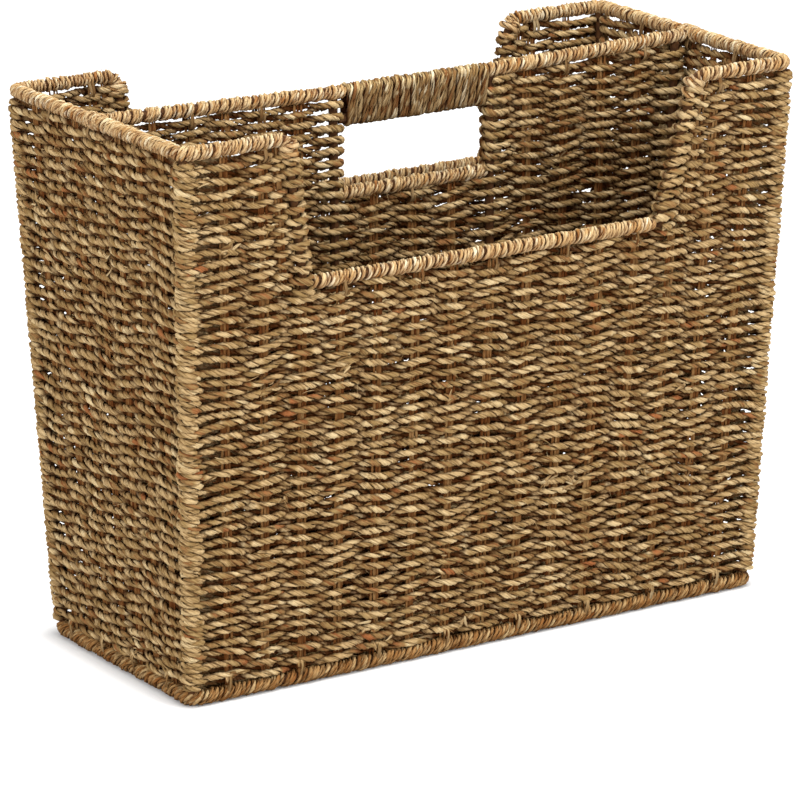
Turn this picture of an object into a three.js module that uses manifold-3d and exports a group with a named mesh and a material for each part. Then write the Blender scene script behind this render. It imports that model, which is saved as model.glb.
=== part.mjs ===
// A free-standing woven magazine basket: a bent steel wire frame, woven walls, a woven divider with a
// wrapped carrying grip over a hand opening, a woven base, and strand bindings on every rim.
// Millimetres, +Z up. The origin is on the floor, under the middle of the basket. -Y is the front.
import * as THREE from "three";
import { mergeVertices } from "three/addons/utils/BufferGeometryUtils.js";
import Module from "manifold-3d";

const wasm = await Module();
wasm.setup();

// The frame wires, measured to their centre lines, and how far each wall leans out up to the rim
const RIM_LENGTH = 400;
const RIM_DEPTH = 187;
const RIM_HEIGHT = 318.8;
const END_LEAN = 10;
const FACE_LEAN = 19;
const WIRE_DIAMETER = 5;
const CORNER_BEND = 5.5;
const EAR_BEND = 5;

// The cut-away in the front and back walls, measured to its woven edges and from the rim wire
const EAR_LENGTH = 71.2;
const CUT_DEPTH = 83.4;
const CUT_SLANT_LEFT = 12.7;
const CUT_SLANT_RIGHT = 20.6;

// The hand opening in the divider, and the grip above it, where the divider's rim dips a little
const OPENING_LENGTH = 92;
const OPENING_OFFSET = 5;
const SILL_DROP = 62.5;
const GRIP_DIP = 3.6;
const GRIP_WIRE_DROP = 15.7;
const GRIP_START_INSET = 1.5;
const GRIP_END_OVERLAP = 3.2;

// The weave and the strands
const WALL_THICKNESS = 9;
const BASE_PANEL_THICKNESS = 8;
const CORD_DIAMETER = 4.2;
const RIM_BINDING_DIAMETER = 8.6;
const BASE_BINDING_DIAMETER = 9.5;
const EAR_BINDING_LENGTH = 69.5;
const GRIP_STRAND_WIDTH = 3.2;
const GRIP_STRAND_THICKNESS = 2.2;
const GRIP_STRAND_GAP = 0.55;
const MOST_GRIP_LOOPS = 24;

// The gap between pieces that touch, and the overrun of every cut
const GAP = 0.3;
const OVERRUN = 2;

// Facets
const WIRE_SIDES = 8;
const BINDING_SIDES = 12;
const STRAND_SIDES = 6;
const BEND_STEPS = 4;
const HALF_TURN_STEPS = 5;

// Sizes that follow from the ones above
const BASE_LENGTH = RIM_LENGTH - 2 * END_LEAN;
const BASE_DEPTH = RIM_DEPTH - 2 * FACE_LEAN;
const WIRE_RADIUS = WIRE_DIAMETER / 2;
const RIM_BINDING_RADIUS = RIM_BINDING_DIAMETER / 2;
const BASE_BINDING_RADIUS = BASE_BINDING_DIAMETER / 2;
const BASE_WIRE_HEIGHT = BASE_BINDING_RADIUS;
const WELD = WIRE_RADIUS + GAP;
const EDGE_COVER = WIRE_RADIUS + CORD_DIAMETER;
const LOW_RIM_HEIGHT = RIM_HEIGHT - CUT_DEPTH;
const SILL_HEIGHT = RIM_HEIGHT - SILL_DROP;
const GRIP_RIM_HEIGHT = RIM_HEIGHT - GRIP_DIP;
const GRIP_WIRE_HEIGHT = GRIP_RIM_HEIGHT - GRIP_WIRE_DROP;
const UNDER_RIM = RIM_BINDING_RADIUS + GAP;
const OPENING_LEFT = OPENING_OFFSET - OPENING_LENGTH / 2;
const OPENING_RIGHT = OPENING_OFFSET + OPENING_LENGTH / 2;
const GRIP_LEFT = OPENING_LEFT + GRIP_START_INSET;
const GRIP_RIGHT = OPENING_RIGHT + GRIP_END_OVERLAP;
const CUT_SLANT = { left: CUT_SLANT_LEFT, right: CUT_SLANT_RIGHT };
const SIGN = { left: -1, right: 1, front: -1, back: 1 };

// How far up the leaning walls a height is, from 0 at the base wire to 1 at the rim wire
function riseShare(height) {
  return (height - BASE_WIRE_HEIGHT) / (RIM_HEIGHT - BASE_WIRE_HEIGHT);
}

// Half the length and half the depth between the middles of the leaning walls, at a height
function halfLengthAt(height) {
  return THREE.MathUtils.lerp(BASE_LENGTH, RIM_LENGTH, riseShare(height)) / 2;
}

function halfDepthAt(height) {
  return THREE.MathUtils.lerp(BASE_DEPTH, RIM_DEPTH, riseShare(height)) / 2;
}

// How far from the middle the woven edge of the cut-away is, at a height
function cutEdgeAt(side, height) {
  const fallShare = (RIM_HEIGHT - height) / CUT_DEPTH;
  return RIM_LENGTH / 2 - EAR_LENGTH - CUT_SLANT[side] * fallShare;
}

// A path given by the stations that a bent rod needs: the ends of its straights and the steps of its bends
class StationPath extends THREE.Curve {
  constructor(stations) {
    super();
    this.stations = stations;
  }

  get steps() {
    return this.stations.length - 1;
  }

  stationAt(share) {
    return this.stations[Math.round(share * this.steps)];
  }

  getPointAt(share, target = new THREE.Vector3()) {
    return target.copy(this.stationAt(share).point);
  }

  getTangentAt(share, target = new THREE.Vector3()) {
    return target.copy(this.stationAt(share).tangent);
  }

  // A station that names its own normal keeps a flat strand from rolling as it goes round
  computeFrenetFrames(segments, closed) {
    if (!this.stations[0].normal) return super.computeFrenetFrames(segments, closed);
    const tangents = this.stations.map((station) => station.tangent);
    const normals = this.stations.map((station) => station.normal);
    const binormals = this.stations.map(({ tangent, normal }) => tangent.clone().cross(normal));
    return { tangents, normals, binormals };
  }
}

// The stations of a rod bent at each inner corner
function bentStations(corners, bendRadius) {
  const heading = (from, to) => to.clone().sub(from).normalize();
  const last = corners.length - 1;
  const stations = [{ point: corners[0].clone(), tangent: heading(corners[0], corners[1]) }];
  for (let i = 1; i < last; i += 1) {
    const arriving = heading(corners[i - 1], corners[i]);
    const leaving = heading(corners[i], corners[i + 1]);
    const turn = arriving.angleTo(leaving);
    const axis = arriving.clone().cross(leaving).normalize();
    const inward = axis.clone().cross(arriving);
    const centre = corners[i].clone();
    centre.addScaledVector(arriving, -bendRadius * Math.tan(turn / 2));
    centre.addScaledVector(inward, bendRadius);
    for (let step = 0; step <= BEND_STEPS; step += 1) {
      const angle = (turn * step) / BEND_STEPS;
      const tangent = arriving.clone().applyAxisAngle(axis, angle);
      const outward = inward.clone().negate().applyAxisAngle(axis, angle);
      stations.push({ point: centre.clone().addScaledVector(outward, bendRadius), tangent });
    }
  }
  stations.push({ point: corners[last].clone(), tangent: heading(corners[last - 1], corners[last]) });
  return stations;
}

// The same stations with both ends moved outwards along the rod
function lengthened(stations, extra) {
  const longer = stations.map(({ point, tangent }) => ({ point: point.clone(), tangent }));
  const first = longer[0];
  const last = longer[longer.length - 1];
  first.point.addScaledVector(first.tangent, -extra);
  last.point.addScaledVector(last.tangent, extra);
  return longer;
}

// A regular outline whose flats lie at the radius, one of them square to the first axis
function regularOutline(radius, sides) {
  const cornerRadius = radius / Math.cos(Math.PI / sides);
  const points = Array.from({ length: sides }, (_, i) => {
    const angle = (Math.PI * (2 * i + 1)) / sides;
    return new THREE.Vector2(cornerRadius * Math.cos(angle), cornerRadius * Math.sin(angle));
  });
  return new THREE.Shape(points);
}

function sweep(stations, outline) {
  const extrudePath = new StationPath(stations);
  return new THREE.ExtrudeGeometry(outline, { steps: extrudePath.steps, extrudePath, bevelEnabled: false });
}

// A closed three.js geometry as a solid that can be cut
function toSolid(geometry) {
  const bare = geometry.clone();
  bare.deleteAttribute("normal");
  bare.deleteAttribute("uv");
  const merged = mergeVertices(bare);
  const vertProperties = new Float32Array(merged.attributes.position.array);
  const triVerts = new Uint32Array(merged.index.array);
  return new wasm.Manifold(new wasm.Mesh({ numProp: 3, vertProperties, triVerts }));
}

function toGeometry(solid) {
  const { vertProperties, triVerts } = solid.getMesh();
  const geometry = new THREE.BufferGeometry();
  geometry.setAttribute("position", new THREE.BufferAttribute(new Float32Array(vertProperties), 3));
  geometry.setIndex(new THREE.BufferAttribute(new Uint32Array(triVerts), 1));
  const faceted = geometry.toNonIndexed();
  faceted.computeVertexNormals();
  return faceted;
}

function cut(solid, tools) {
  return tools.reduce((rest, tool) => rest.subtract(tool), solid);
}

// A bent wire or a strand binding. Its room is the space that its neighbours leave free for it.
class Rod {
  constructor(stations, radius, sides) {
    this.stations = stations;
    this.radius = radius;
    this.sides = sides;
    this.overrun = OVERRUN;
  }

  get geometry() {
    return sweep(this.stations, regularOutline(this.radius, this.sides));
  }

  get solid() {
    return toSolid(this.geometry);
  }

  get room() {
    return toSolid(sweep(lengthened(this.stations, GAP), regularOutline(this.radius + GAP, this.sides)));
  }

  // The room of a wire that runs on past the ends of what is wound round it
  get bore() {
    const stations = lengthened(this.stations, this.overrun);
    return toSolid(sweep(stations, regularOutline(this.radius + GAP, this.sides)));
  }
}

function wire(corners) {
  return new Rod(bentStations(corners, CORNER_BEND), WIRE_RADIUS, WIRE_SIDES);
}

function binding(corners, radius) {
  return new Rod(bentStations(corners, CORNER_BEND), radius, BINDING_SIDES);
}

const at = (x, y, z) => new THREE.Vector3(x, y, z);

// The ring under the walls is bent from one rod, whose ends meet in the middle of the back.
// What is bored for it stops inside the gap between its ends.
function baseRingCorners() {
  const x = BASE_LENGTH / 2;
  const y = BASE_DEPTH / 2;
  return [
    at(GAP / 2, y, BASE_WIRE_HEIGHT),
    at(x, y, BASE_WIRE_HEIGHT),
    at(x, -y, BASE_WIRE_HEIGHT),
    at(-x, -y, BASE_WIRE_HEIGHT),
    at(-x, y, BASE_WIRE_HEIGHT),
    at(-GAP / 2, y, BASE_WIRE_HEIGHT),
  ];
}

// A corner post stands in the middle of the ring's bend and leans out with the walls
function cornerPost(side, face) {
  const inset = CORNER_BEND * (1 - Math.SQRT1_2);
  const footHeight = BASE_WIRE_HEIGHT + WELD;
  const headHeight = RIM_HEIGHT - WELD;
  const place = (z) => at(SIGN[side] * (halfLengthAt(z) - inset), SIGN[face] * (halfDepthAt(z) - inset), z);
  return wire([place(footHeight), place(headHeight)]);
}

// Where the leg beside the cut-away stands, inside the woven edge
function legAt(side, face, height) {
  return at(SIGN[side] * (cutEdgeAt(side, height) + EDGE_COVER), SIGN[face] * halfDepthAt(height), height);
}

// An end rim's wire goes up one leg, along an ear, round the end, along the other ear and down its leg
function endRimCorners(side) {
  const x = (SIGN[side] * RIM_LENGTH) / 2;
  const legFoot = LOW_RIM_HEIGHT - WIRE_RADIUS;
  return [
    legAt(side, "front", legFoot),
    legAt(side, "front", RIM_HEIGHT),
    at(x, -RIM_DEPTH / 2, RIM_HEIGHT),
    at(x, RIM_DEPTH / 2, RIM_HEIGHT),
    legAt(side, "back", RIM_HEIGHT),
    legAt(side, "back", legFoot),
  ];
}

// The end rim is bent tighter at its ears than at its corners, so its stations come in three stretches
function endRimWire(side) {
  const [frontFoot, frontTip, frontCorner, backCorner, backTip, backFoot] = endRimCorners(side);
  const frontEar = frontTip.clone().lerp(frontCorner, 1 / 2);
  const backEar = backTip.clone().lerp(backCorner, 1 / 2);
  const front = bentStations([frontFoot, frontTip, frontEar], EAR_BEND);
  const end = bentStations([frontEar, frontCorner, backCorner, backEar], CORNER_BEND);
  const back = bentStations([backEar, backTip, backFoot], EAR_BEND);
  const stations = [...front.slice(0, -1), ...end.slice(1, -1), ...back.slice(1)];
  return new Rod(stations, WIRE_RADIUS, WIRE_SIDES);
}

function endRimBinding(side) {
  const tip = SIGN[side] * (RIM_LENGTH / 2 - EAR_BINDING_LENGTH);
  const corner = (SIGN[side] * RIM_LENGTH) / 2;
  const corners = [
    at(tip, -RIM_DEPTH / 2, RIM_HEIGHT),
    at(corner, -RIM_DEPTH / 2, RIM_HEIGHT),
    at(corner, RIM_DEPTH / 2, RIM_HEIGHT),
    at(tip, RIM_DEPTH / 2, RIM_HEIGHT),
  ];
  return binding(corners, RIM_BINDING_RADIUS);
}

// The low rim's wire and binding both end against the legs, which slant in under them
function lowRimEnds(face, radius) {
  const end = (side) => {
    const place = legAt(side, face, LOW_RIM_HEIGHT);
    place.x = legAt(side, face, LOW_RIM_HEIGHT - radius).x - SIGN[side] * WELD;
    return place;
  };
  return [end("left"), end("right")];
}

// The divider's frame stands in the middle of the basket, inside the end walls
function dividerEndAt(height) {
  return halfLengthAt(height) - WALL_THICKNESS / 2 - GAP;
}

const UPRIGHT_X = { left: OPENING_LEFT - EDGE_COVER, right: OPENING_RIGHT + EDGE_COVER };
const dividerWireEnd = RIM_LENGTH / 2 - WELD;
const dividerBaseWireEnd = BASE_LENGTH / 2 - WELD;
const dividerBindingEnd = RIM_LENGTH / 2 - UNDER_RIM;

// The divider's rim dips from its two ends to the uprights, and runs level between them
function dividerRimHeightAt(x) {
  const upright = Math.abs(UPRIGHT_X[x < 0 ? "left" : "right"]);
  const endShare = (Math.abs(x) - upright) / (dividerWireEnd - upright);
  return RIM_HEIGHT - GRIP_DIP * (1 - THREE.MathUtils.clamp(endShare, 0, 1));
}

// The divider's rim from one place to another, with a bend over each upright that lies between them
function dividerRimCorners(from, to) {
  const bends = Object.values(UPRIGHT_X).filter((x) => from < x && x < to);
  return [from, ...bends, to].map((x) => at(x, 0, dividerRimHeightAt(x)));
}

function dividerEndPost(side) {
  const place = (z) => at(SIGN[side] * (dividerEndAt(z) - EDGE_COVER), 0, z);
  const headHeight = dividerRimHeightAt(place(RIM_HEIGHT).x) - WELD;
  return wire([place(BASE_WIRE_HEIGHT + WELD), place(headHeight)]);
}

function openingUpright(side) {
  const x = UPRIGHT_X[side];
  return wire([at(x, 0, BASE_WIRE_HEIGHT + WELD), at(x, 0, GRIP_RIM_HEIGHT - WELD)]);
}

function betweenUprights(height) {
  return [at(UPRIGHT_X.left + WELD, 0, height), at(UPRIGHT_X.right - WELD, 0, height)];
}

function baseRingWire() {
  const ring = wire(baseRingCorners());
  ring.overrun = GAP / 3;
  return ring;
}

const wires = {
  base_ring_wire: baseRingWire(),
  corner_post_front_left: cornerPost("left", "front"),
  corner_post_front_right: cornerPost("right", "front"),
  corner_post_back_left: cornerPost("left", "back"),
  corner_post_back_right: cornerPost("right", "back"),
  end_rim_wire_left: endRimWire("left"),
  end_rim_wire_right: endRimWire("right"),
  low_rim_wire_front: wire(lowRimEnds("front", WIRE_RADIUS)),
  low_rim_wire_back: wire(lowRimEnds("back", WIRE_RADIUS)),
  divider_rim_wire: wire(dividerRimCorners(-dividerWireEnd, dividerWireEnd)),
  divider_base_wire: wire([
    at(-dividerBaseWireEnd, 0, BASE_WIRE_HEIGHT),
    at(dividerBaseWireEnd, 0, BASE_WIRE_HEIGHT),
  ]),
  divider_end_post_left: dividerEndPost("left"),
  divider_end_post_right: dividerEndPost("right"),
  opening_upright_left: openingUpright("left"),
  opening_upright_right: openingUpright("right"),
  opening_sill_wire: wire(betweenUprights(SILL_HEIGHT)),
  grip_lower_wire: wire(betweenUprights(GRIP_WIRE_HEIGHT)),
};

const bindings = {
  end_rim_binding_left: endRimBinding("left"),
  end_rim_binding_right: endRimBinding("right"),
  low_rim_binding_front: binding(lowRimEnds("front", RIM_BINDING_RADIUS), RIM_BINDING_RADIUS),
  low_rim_binding_back: binding(lowRimEnds("back", RIM_BINDING_RADIUS), RIM_BINDING_RADIUS),
  divider_rim_binding_left: binding(
    dividerRimCorners(-dividerBindingEnd, GRIP_LEFT - GAP),
    RIM_BINDING_RADIUS,
  ),
  divider_rim_binding_right: binding(
    dividerRimCorners(GRIP_RIGHT + GAP, dividerBindingEnd),
    RIM_BINDING_RADIUS,
  ),
  opening_sill_binding: binding(betweenUprights(SILL_HEIGHT), RIM_BINDING_RADIUS),
  base_binding: binding(baseRingCorners(), BASE_BINDING_RADIUS),
};

// The grip's winding: one flat strand wound round the rim wire and the lower wire together
const GRIP_SPAN = GRIP_RIGHT - GRIP_LEFT - GRIP_STRAND_WIDTH;
const GRIP_LOOPS = Math.min(MOST_GRIP_LOOPS, Math.floor(GRIP_SPAN / (GRIP_STRAND_WIDTH + GRIP_STRAND_GAP)));
const GRIP_PITCH = GRIP_SPAN / GRIP_LOOPS;
const GRIP_TURN_RADIUS =
  (WIRE_RADIUS + GAP + GRIP_STRAND_THICKNESS / 2) / Math.cos(Math.PI / (2 * HALF_TURN_STEPS));

// Each loop goes up the front, half a turn over the rim wire to the back, down, and half a turn under
// the lower wire to the front again. The strand starts and ends half way up the front.
function windingStations() {
  const halfTurnLength = Math.PI * GRIP_TURN_RADIUS;
  const loopLength = 2 * (halfTurnLength + GRIP_WIRE_DROP);
  const slope = GRIP_PITCH / loopLength;
  const stations = [];
  let travelled = 0;
  const add = (angle, centreHeight, advance) => {
    travelled += advance;
    const normal = at(0, -Math.cos(angle), Math.sin(angle));
    const tangent = at(slope, Math.sin(angle), Math.cos(angle)).normalize();
    const point = normal.clone().multiplyScalar(GRIP_TURN_RADIUS);
    point.x = GRIP_LEFT + GRIP_STRAND_WIDTH / 2 + travelled * slope;
    point.z += centreHeight;
    stations.push({ point, tangent, normal });
  };
  const middle = (GRIP_RIM_HEIGHT + GRIP_WIRE_HEIGHT) / 2;
  add(0, middle, 0);
  for (let loop = 0; loop < GRIP_LOOPS; loop += 1) {
    const toTop = loop === 0 ? GRIP_WIRE_DROP / 2 : GRIP_WIRE_DROP;
    for (let step = 0; step <= HALF_TURN_STEPS; step += 1) {
      const angle = (Math.PI * step) / HALF_TURN_STEPS;
      add(angle, GRIP_RIM_HEIGHT, step === 0 ? toTop : halfTurnLength / HALF_TURN_STEPS);
    }
    for (let step = 0; step <= HALF_TURN_STEPS; step += 1) {
      const angle = Math.PI + (Math.PI * step) / HALF_TURN_STEPS;
      add(angle, GRIP_WIRE_HEIGHT, step === 0 ? GRIP_WIRE_DROP : halfTurnLength / HALF_TURN_STEPS);
    }
  }
  add(0, middle, GRIP_WIRE_DROP / 2);
  return stations;
}

// The strand's flat section: its thickness lies along the normal, its width along the grip
function strandOutline() {
  const points = Array.from({ length: STRAND_SIDES }, (_, i) => {
    const angle = (Math.PI * (2 * i + 1)) / STRAND_SIDES;
    return new THREE.Vector2(
      ((GRIP_STRAND_THICKNESS / 2) * Math.cos(angle)) / Math.cos(Math.PI / STRAND_SIDES),
      (GRIP_STRAND_WIDTH / 2) * Math.sin(angle),
    );
  });
  return new THREE.Shape(points);
}

// The least distance between two points of the strand that lie at least half a loop apart
function leastWindingGap(stations) {
  const outline = strandOutline().getPoints();
  const frames = new StationPath(stations).computeFrenetFrames();
  const surface = stations.map(({ point }, i) =>
    outline.map(({ x, y }) =>
      point.clone().addScaledVector(frames.normals[i], x).addScaledVector(frames.binormals[i], y),
    ),
  );
  let least = Infinity;
  for (let i = 0; i < surface.length; i += 1) {
    for (let j = i + HALF_TURN_STEPS + 1; j < surface.length; j += 1) {
      for (const a of surface[i]) {
        for (const b of surface[j]) least = Math.min(least, a.distanceTo(b));
      }
    }
  }
  return least;
}

// A rounded rectangle as long and as deep as given from the middle
function roundedRectangle(halfLength, halfDepth, radius) {
  const x = halfLength - radius;
  const y = halfDepth - radius;
  const quarter = Math.PI / 2;
  const shape = new THREE.Shape();
  shape.absarc(x, y, radius, 0, quarter);
  shape.absarc(-x, y, radius, quarter, 2 * quarter);
  shape.absarc(-x, -y, radius, 2 * quarter, 3 * quarter);
  shape.absarc(x, -y, radius, 3 * quarter, 4 * quarter);
  return shape;
}

function prism(shape, bottom, top) {
  const geometry = new THREE.ExtrudeGeometry(shape, {
    depth: top - bottom,
    curveSegments: BEND_STEPS / 2,
    bevelEnabled: false,
  });
  return geometry.translate(0, 0, bottom);
}

// Moves every point outwards with its height, as the walls lean
function leanOut(geometry) {
  const { position } = geometry.attributes;
  for (let i = 0; i < position.count; i += 1) {
    const z = position.getZ(i);
    const outX = halfLengthAt(z) - BASE_LENGTH / 2;
    const outY = halfDepthAt(z) - BASE_DEPTH / 2;
    position.setX(i, position.getX(i) + Math.sign(position.getX(i)) * outX);
    position.setY(i, position.getY(i) + Math.sign(position.getY(i)) * outY);
  }
  return geometry;
}

const WALL_BOTTOM = BASE_WIRE_HEIGHT + BASE_BINDING_RADIUS + GAP;
const WALL_TOP = RIM_HEIGHT - UNDER_RIM;

// The woven skin all round the basket, before it is cut into its four walls
function wovenSkin() {
  const shell = (grow, bottom, top) => {
    const shape = roundedRectangle(BASE_LENGTH / 2 + grow, BASE_DEPTH / 2 + grow, CORNER_BEND + grow);
    return toSolid(leanOut(prism(shape, bottom, top)));
  };
  const outer = shell(WALL_THICKNESS / 2, WALL_BOTTOM, WALL_TOP);
  const inner = shell(-WALL_THICKNESS / 2, WALL_BOTTOM - OVERRUN, WALL_TOP + OVERRUN);
  return outer.subtract(inner);
}

// What belongs to one wall: everything between the mitres through its two corner posts
function wallSpace(alongX, sign) {
  const inset = CORNER_BEND * (1 - Math.SQRT1_2);
  const reach = WALL_THICKNESS + CORNER_BEND;
  const mitreGap = GAP * Math.SQRT1_2;
  const x = BASE_LENGTH / 2 - inset;
  const y = BASE_DEPTH / 2 - inset;
  const along = (alongX ? x : y) - mitreGap;
  const across = alongX ? y : x;
  const corners = [
    [-along - reach, across + reach],
    [-along + reach, across - reach],
    [along - reach, across - reach],
    [along + reach, across + reach],
  ];
  const place = ([u, v]) => (alongX ? new THREE.Vector2(u, sign * v) : new THREE.Vector2(sign * v, u));
  const points = corners.map(place);
  return toSolid(leanOut(prism(new THREE.Shape(points), WALL_BOTTOM - OVERRUN, WALL_TOP + OVERRUN)));
}

// Turns an outline drawn in X and Z into a solid that is centred on Y
function uprightPrism(shape, thickness) {
  const geometry = new THREE.ExtrudeGeometry(shape, { depth: thickness, bevelEnabled: false });
  geometry.rotateX(Math.PI / 2);
  return toSolid(geometry.translate(0, thickness / 2, 0));
}

// The cut-away goes through the front and the back alike
function cutAway() {
  const floor = LOW_RIM_HEIGHT - UNDER_RIM;
  const ceiling = RIM_HEIGHT + OVERRUN;
  const shape = new THREE.Shape([
    new THREE.Vector2(-cutEdgeAt("left", ceiling), ceiling),
    new THREE.Vector2(-cutEdgeAt("left", floor), floor),
    new THREE.Vector2(cutEdgeAt("right", floor), floor),
    new THREE.Vector2(cutEdgeAt("right", ceiling), ceiling),
  ]);
  return uprightPrism(shape, RIM_DEPTH + WALL_THICKNESS + OVERRUN);
}

const wireRooms = Object.values(wires).map((rod) => rod.room);
const bindingRooms = Object.values(bindings).map((rod) => rod.room);
const skin = wovenSkin();
const frontAndBackCut = cutAway();

function wovenWall(alongX, sign) {
  const wall = skin.intersect(wallSpace(alongX, sign));
  const shaped = alongX ? wall.subtract(frontAndBackCut) : wall;
  return cut(cut(shaped, wireRooms), bindingRooms);
}

// The divider is woven round its own frame, and open above the sill. Under the sloping stretches of its
// rim, where the binding's underside isn't level, it keeps one gap more.
function dividerPanel() {
  const bottom = BASE_WIRE_HEIGHT + BASE_PANEL_THICKNESS / 2 + GAP;
  const sill = SILL_HEIGHT - UNDER_RIM;
  const gripUnderside = GRIP_WIRE_HEIGHT - GRIP_TURN_RADIUS - GRIP_STRAND_THICKNESS / 2 - GAP;
  const underRimAt = (x) => [x, dividerRimHeightAt(x) - UNDER_RIM - GAP];
  const outline = [
    [-dividerEndAt(bottom), bottom],
    [dividerEndAt(bottom), bottom],
    underRimAt(dividerEndAt(WALL_TOP)),
    underRimAt(UPRIGHT_X.right),
    underRimAt(GRIP_RIGHT + GAP),
    [GRIP_RIGHT + GAP, gripUnderside],
    [OPENING_RIGHT, gripUnderside],
    [OPENING_RIGHT, sill],
    [OPENING_LEFT, sill],
    underRimAt(OPENING_LEFT),
    underRimAt(UPRIGHT_X.left),
    underRimAt(-dividerEndAt(WALL_TOP)),
  ];
  const shape = new THREE.Shape(outline.map(([x, z]) => new THREE.Vector2(x, z)));
  return cut(cut(uprightPrism(shape, WALL_THICKNESS), wireRooms), bindingRooms);
}

// The base is woven inside its ring, clear of the floor
function basePanel() {
  const inset = BASE_BINDING_RADIUS + GAP;
  const shape = roundedRectangle(BASE_LENGTH / 2 - inset, BASE_DEPTH / 2 - inset, CORNER_BEND - inset);
  const bottom = BASE_WIRE_HEIGHT - BASE_PANEL_THICKNESS / 2;
  return cut(toSolid(prism(shape, bottom, bottom + BASE_PANEL_THICKNESS)), wireRooms);
}

const finishes = {
  wire: { color: 0x3a2c20, roughness: 0.55, metalness: 0.6 },
  weave: { color: 0x94815a, roughness: 0.85, metalness: 0 },
  rimBinding: { color: 0xc8a877, roughness: 0.8, metalness: 0 },
  baseBinding: { color: 0x9a7747, roughness: 0.85, metalness: 0 },
  grip: { color: 0xa58c5e, roughness: 0.8, metalness: 0 },
};

function piece(name, geometry, finish) {
  const mesh = new THREE.Mesh(geometry, new THREE.MeshStandardMaterial(finishes[finish]));
  mesh.name = name;
  return mesh;
}

function frameGroup() {
  const group = new THREE.Group();
  for (const [name, rod] of Object.entries(wires)) group.add(piece(name, rod.geometry, "wire"));
  return group;
}

function weaveGroup() {
  const group = new THREE.Group();
  group.add(piece("woven_wall_front", toGeometry(wovenWall(true, SIGN.front)), "weave"));
  group.add(piece("woven_wall_back", toGeometry(wovenWall(true, SIGN.back)), "weave"));
  group.add(piece("woven_wall_left", toGeometry(wovenWall(false, SIGN.left)), "weave"));
  group.add(piece("woven_wall_right", toGeometry(wovenWall(false, SIGN.right)), "weave"));
  group.add(piece("woven_divider", toGeometry(dividerPanel()), "weave"));
  group.add(piece("woven_base", toGeometry(basePanel()), "weave"));
  return group;
}

// Each binding is wound over its wire, so it is hollow along the wire and open where another wire joins
function bindingGroup() {
  const bores = Object.values(wires).map((rod) => rod.bore);
  const group = new THREE.Group();
  for (const [name, rod] of Object.entries(bindings)) {
    const finish = name === "base_binding" ? "baseBinding" : "rimBinding";
    group.add(piece(name, toGeometry(cut(rod.solid, bores)), finish));
  }
  const stations = windingStations();
  const leastGap = leastWindingGap(stations);
  console.log(`grip winding: ${GRIP_LOOPS} loops, least gap to itself ${leastGap.toFixed(2)} mm`);
  group.add(piece("grip_winding", sweep(stations, strandOutline()), "grip"));
  return group;
}

const basket = new THREE.Group();
basket.add(frameGroup(), weaveGroup(), bindingGroup());

export default basket;
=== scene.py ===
"""The looks of a woven seagrass magazine basket, dressed on its packed wire frame.

Two-ply cords of seagrass run round thin vertical stakes, strands are wound over every rim wire, and a
wide winding makes the carrying grip. Lengths are in millimetres until a mesh is made in metres. +Z is up,
-Y is the front, and the origin lies on the floor under the middle of the basket.
"""

import logging
import math
from dataclasses import dataclass, field, replace
from enum import Enum
from functools import partial
from typing import Callable, Iterable, Optional, Sequence

import bpy
import numpy as np
from mathutils import Matrix, Vector


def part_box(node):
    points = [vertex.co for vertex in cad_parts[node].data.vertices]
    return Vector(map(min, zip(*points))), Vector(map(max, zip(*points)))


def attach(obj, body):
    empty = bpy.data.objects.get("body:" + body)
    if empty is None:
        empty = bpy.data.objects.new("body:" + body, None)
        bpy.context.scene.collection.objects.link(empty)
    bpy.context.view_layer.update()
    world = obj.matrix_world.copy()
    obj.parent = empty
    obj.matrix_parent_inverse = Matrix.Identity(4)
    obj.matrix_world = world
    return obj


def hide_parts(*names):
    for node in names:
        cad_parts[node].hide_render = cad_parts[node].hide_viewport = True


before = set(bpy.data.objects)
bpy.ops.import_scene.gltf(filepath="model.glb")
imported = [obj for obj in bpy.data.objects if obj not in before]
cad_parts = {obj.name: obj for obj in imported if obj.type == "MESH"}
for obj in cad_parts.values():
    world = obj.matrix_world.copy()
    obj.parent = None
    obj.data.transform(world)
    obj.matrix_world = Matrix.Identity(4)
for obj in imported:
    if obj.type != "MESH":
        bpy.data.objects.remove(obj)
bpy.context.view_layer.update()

Array = np.ndarray
Exposure = Callable[[Array], Array]

MM = 0.001
UP = np.array([0.0, 0.0, 1.0])
BODY = "root"
log = logging.getLogger("basket")


class Slot(Enum):
    """The record's material slots."""

    WIRE = "frame_wire"
    WEAVE = "seagrass_weave"
    RIM = "rim_strand"
    BASE = "base_strand"
    GRIP = "grip_strand"


class End(Enum):
    """The two ends of the basket, by the sign of X."""

    LEFT = -1
    RIGHT = 1


class Face(Enum):
    """The two long faces of the basket, by the sign of Y."""

    FRONT = -1
    BACK = 1


# Vectors and smooth lines


def unit(vectors: Array) -> Array:
    """Scales each vector in the last axis to a length of one."""
    return vectors / np.maximum(np.linalg.norm(vectors, axis=-1, keepdims=True), 1e-12)


def smoothstep(share: Array) -> Array:
    """Eases a share in and out, and holds it between 0 and 1."""
    held = np.clip(share, 0.0, 1.0)
    return held * held * (3 - 2 * held)


def distance_along(points: Array) -> Array:
    """The distance travelled at each point of a line, from 0. Only the first three columns count."""
    hops = np.linalg.norm(np.diff(points[:, :3], axis=0), axis=1)
    return np.concatenate([[0.0], np.cumsum(hops)])


def read_at(places: Array, known: Array, rows: Array) -> Array:
    """Reads a table between its rows.

    Args:
        places: Where it is read.
        known: The place of each row.
        rows: The rows.

    Returns:
        One row for each place.
    """
    return np.stack([np.interp(places, known, rows[:, column]) for column in range(rows.shape[1])], axis=1)


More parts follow.
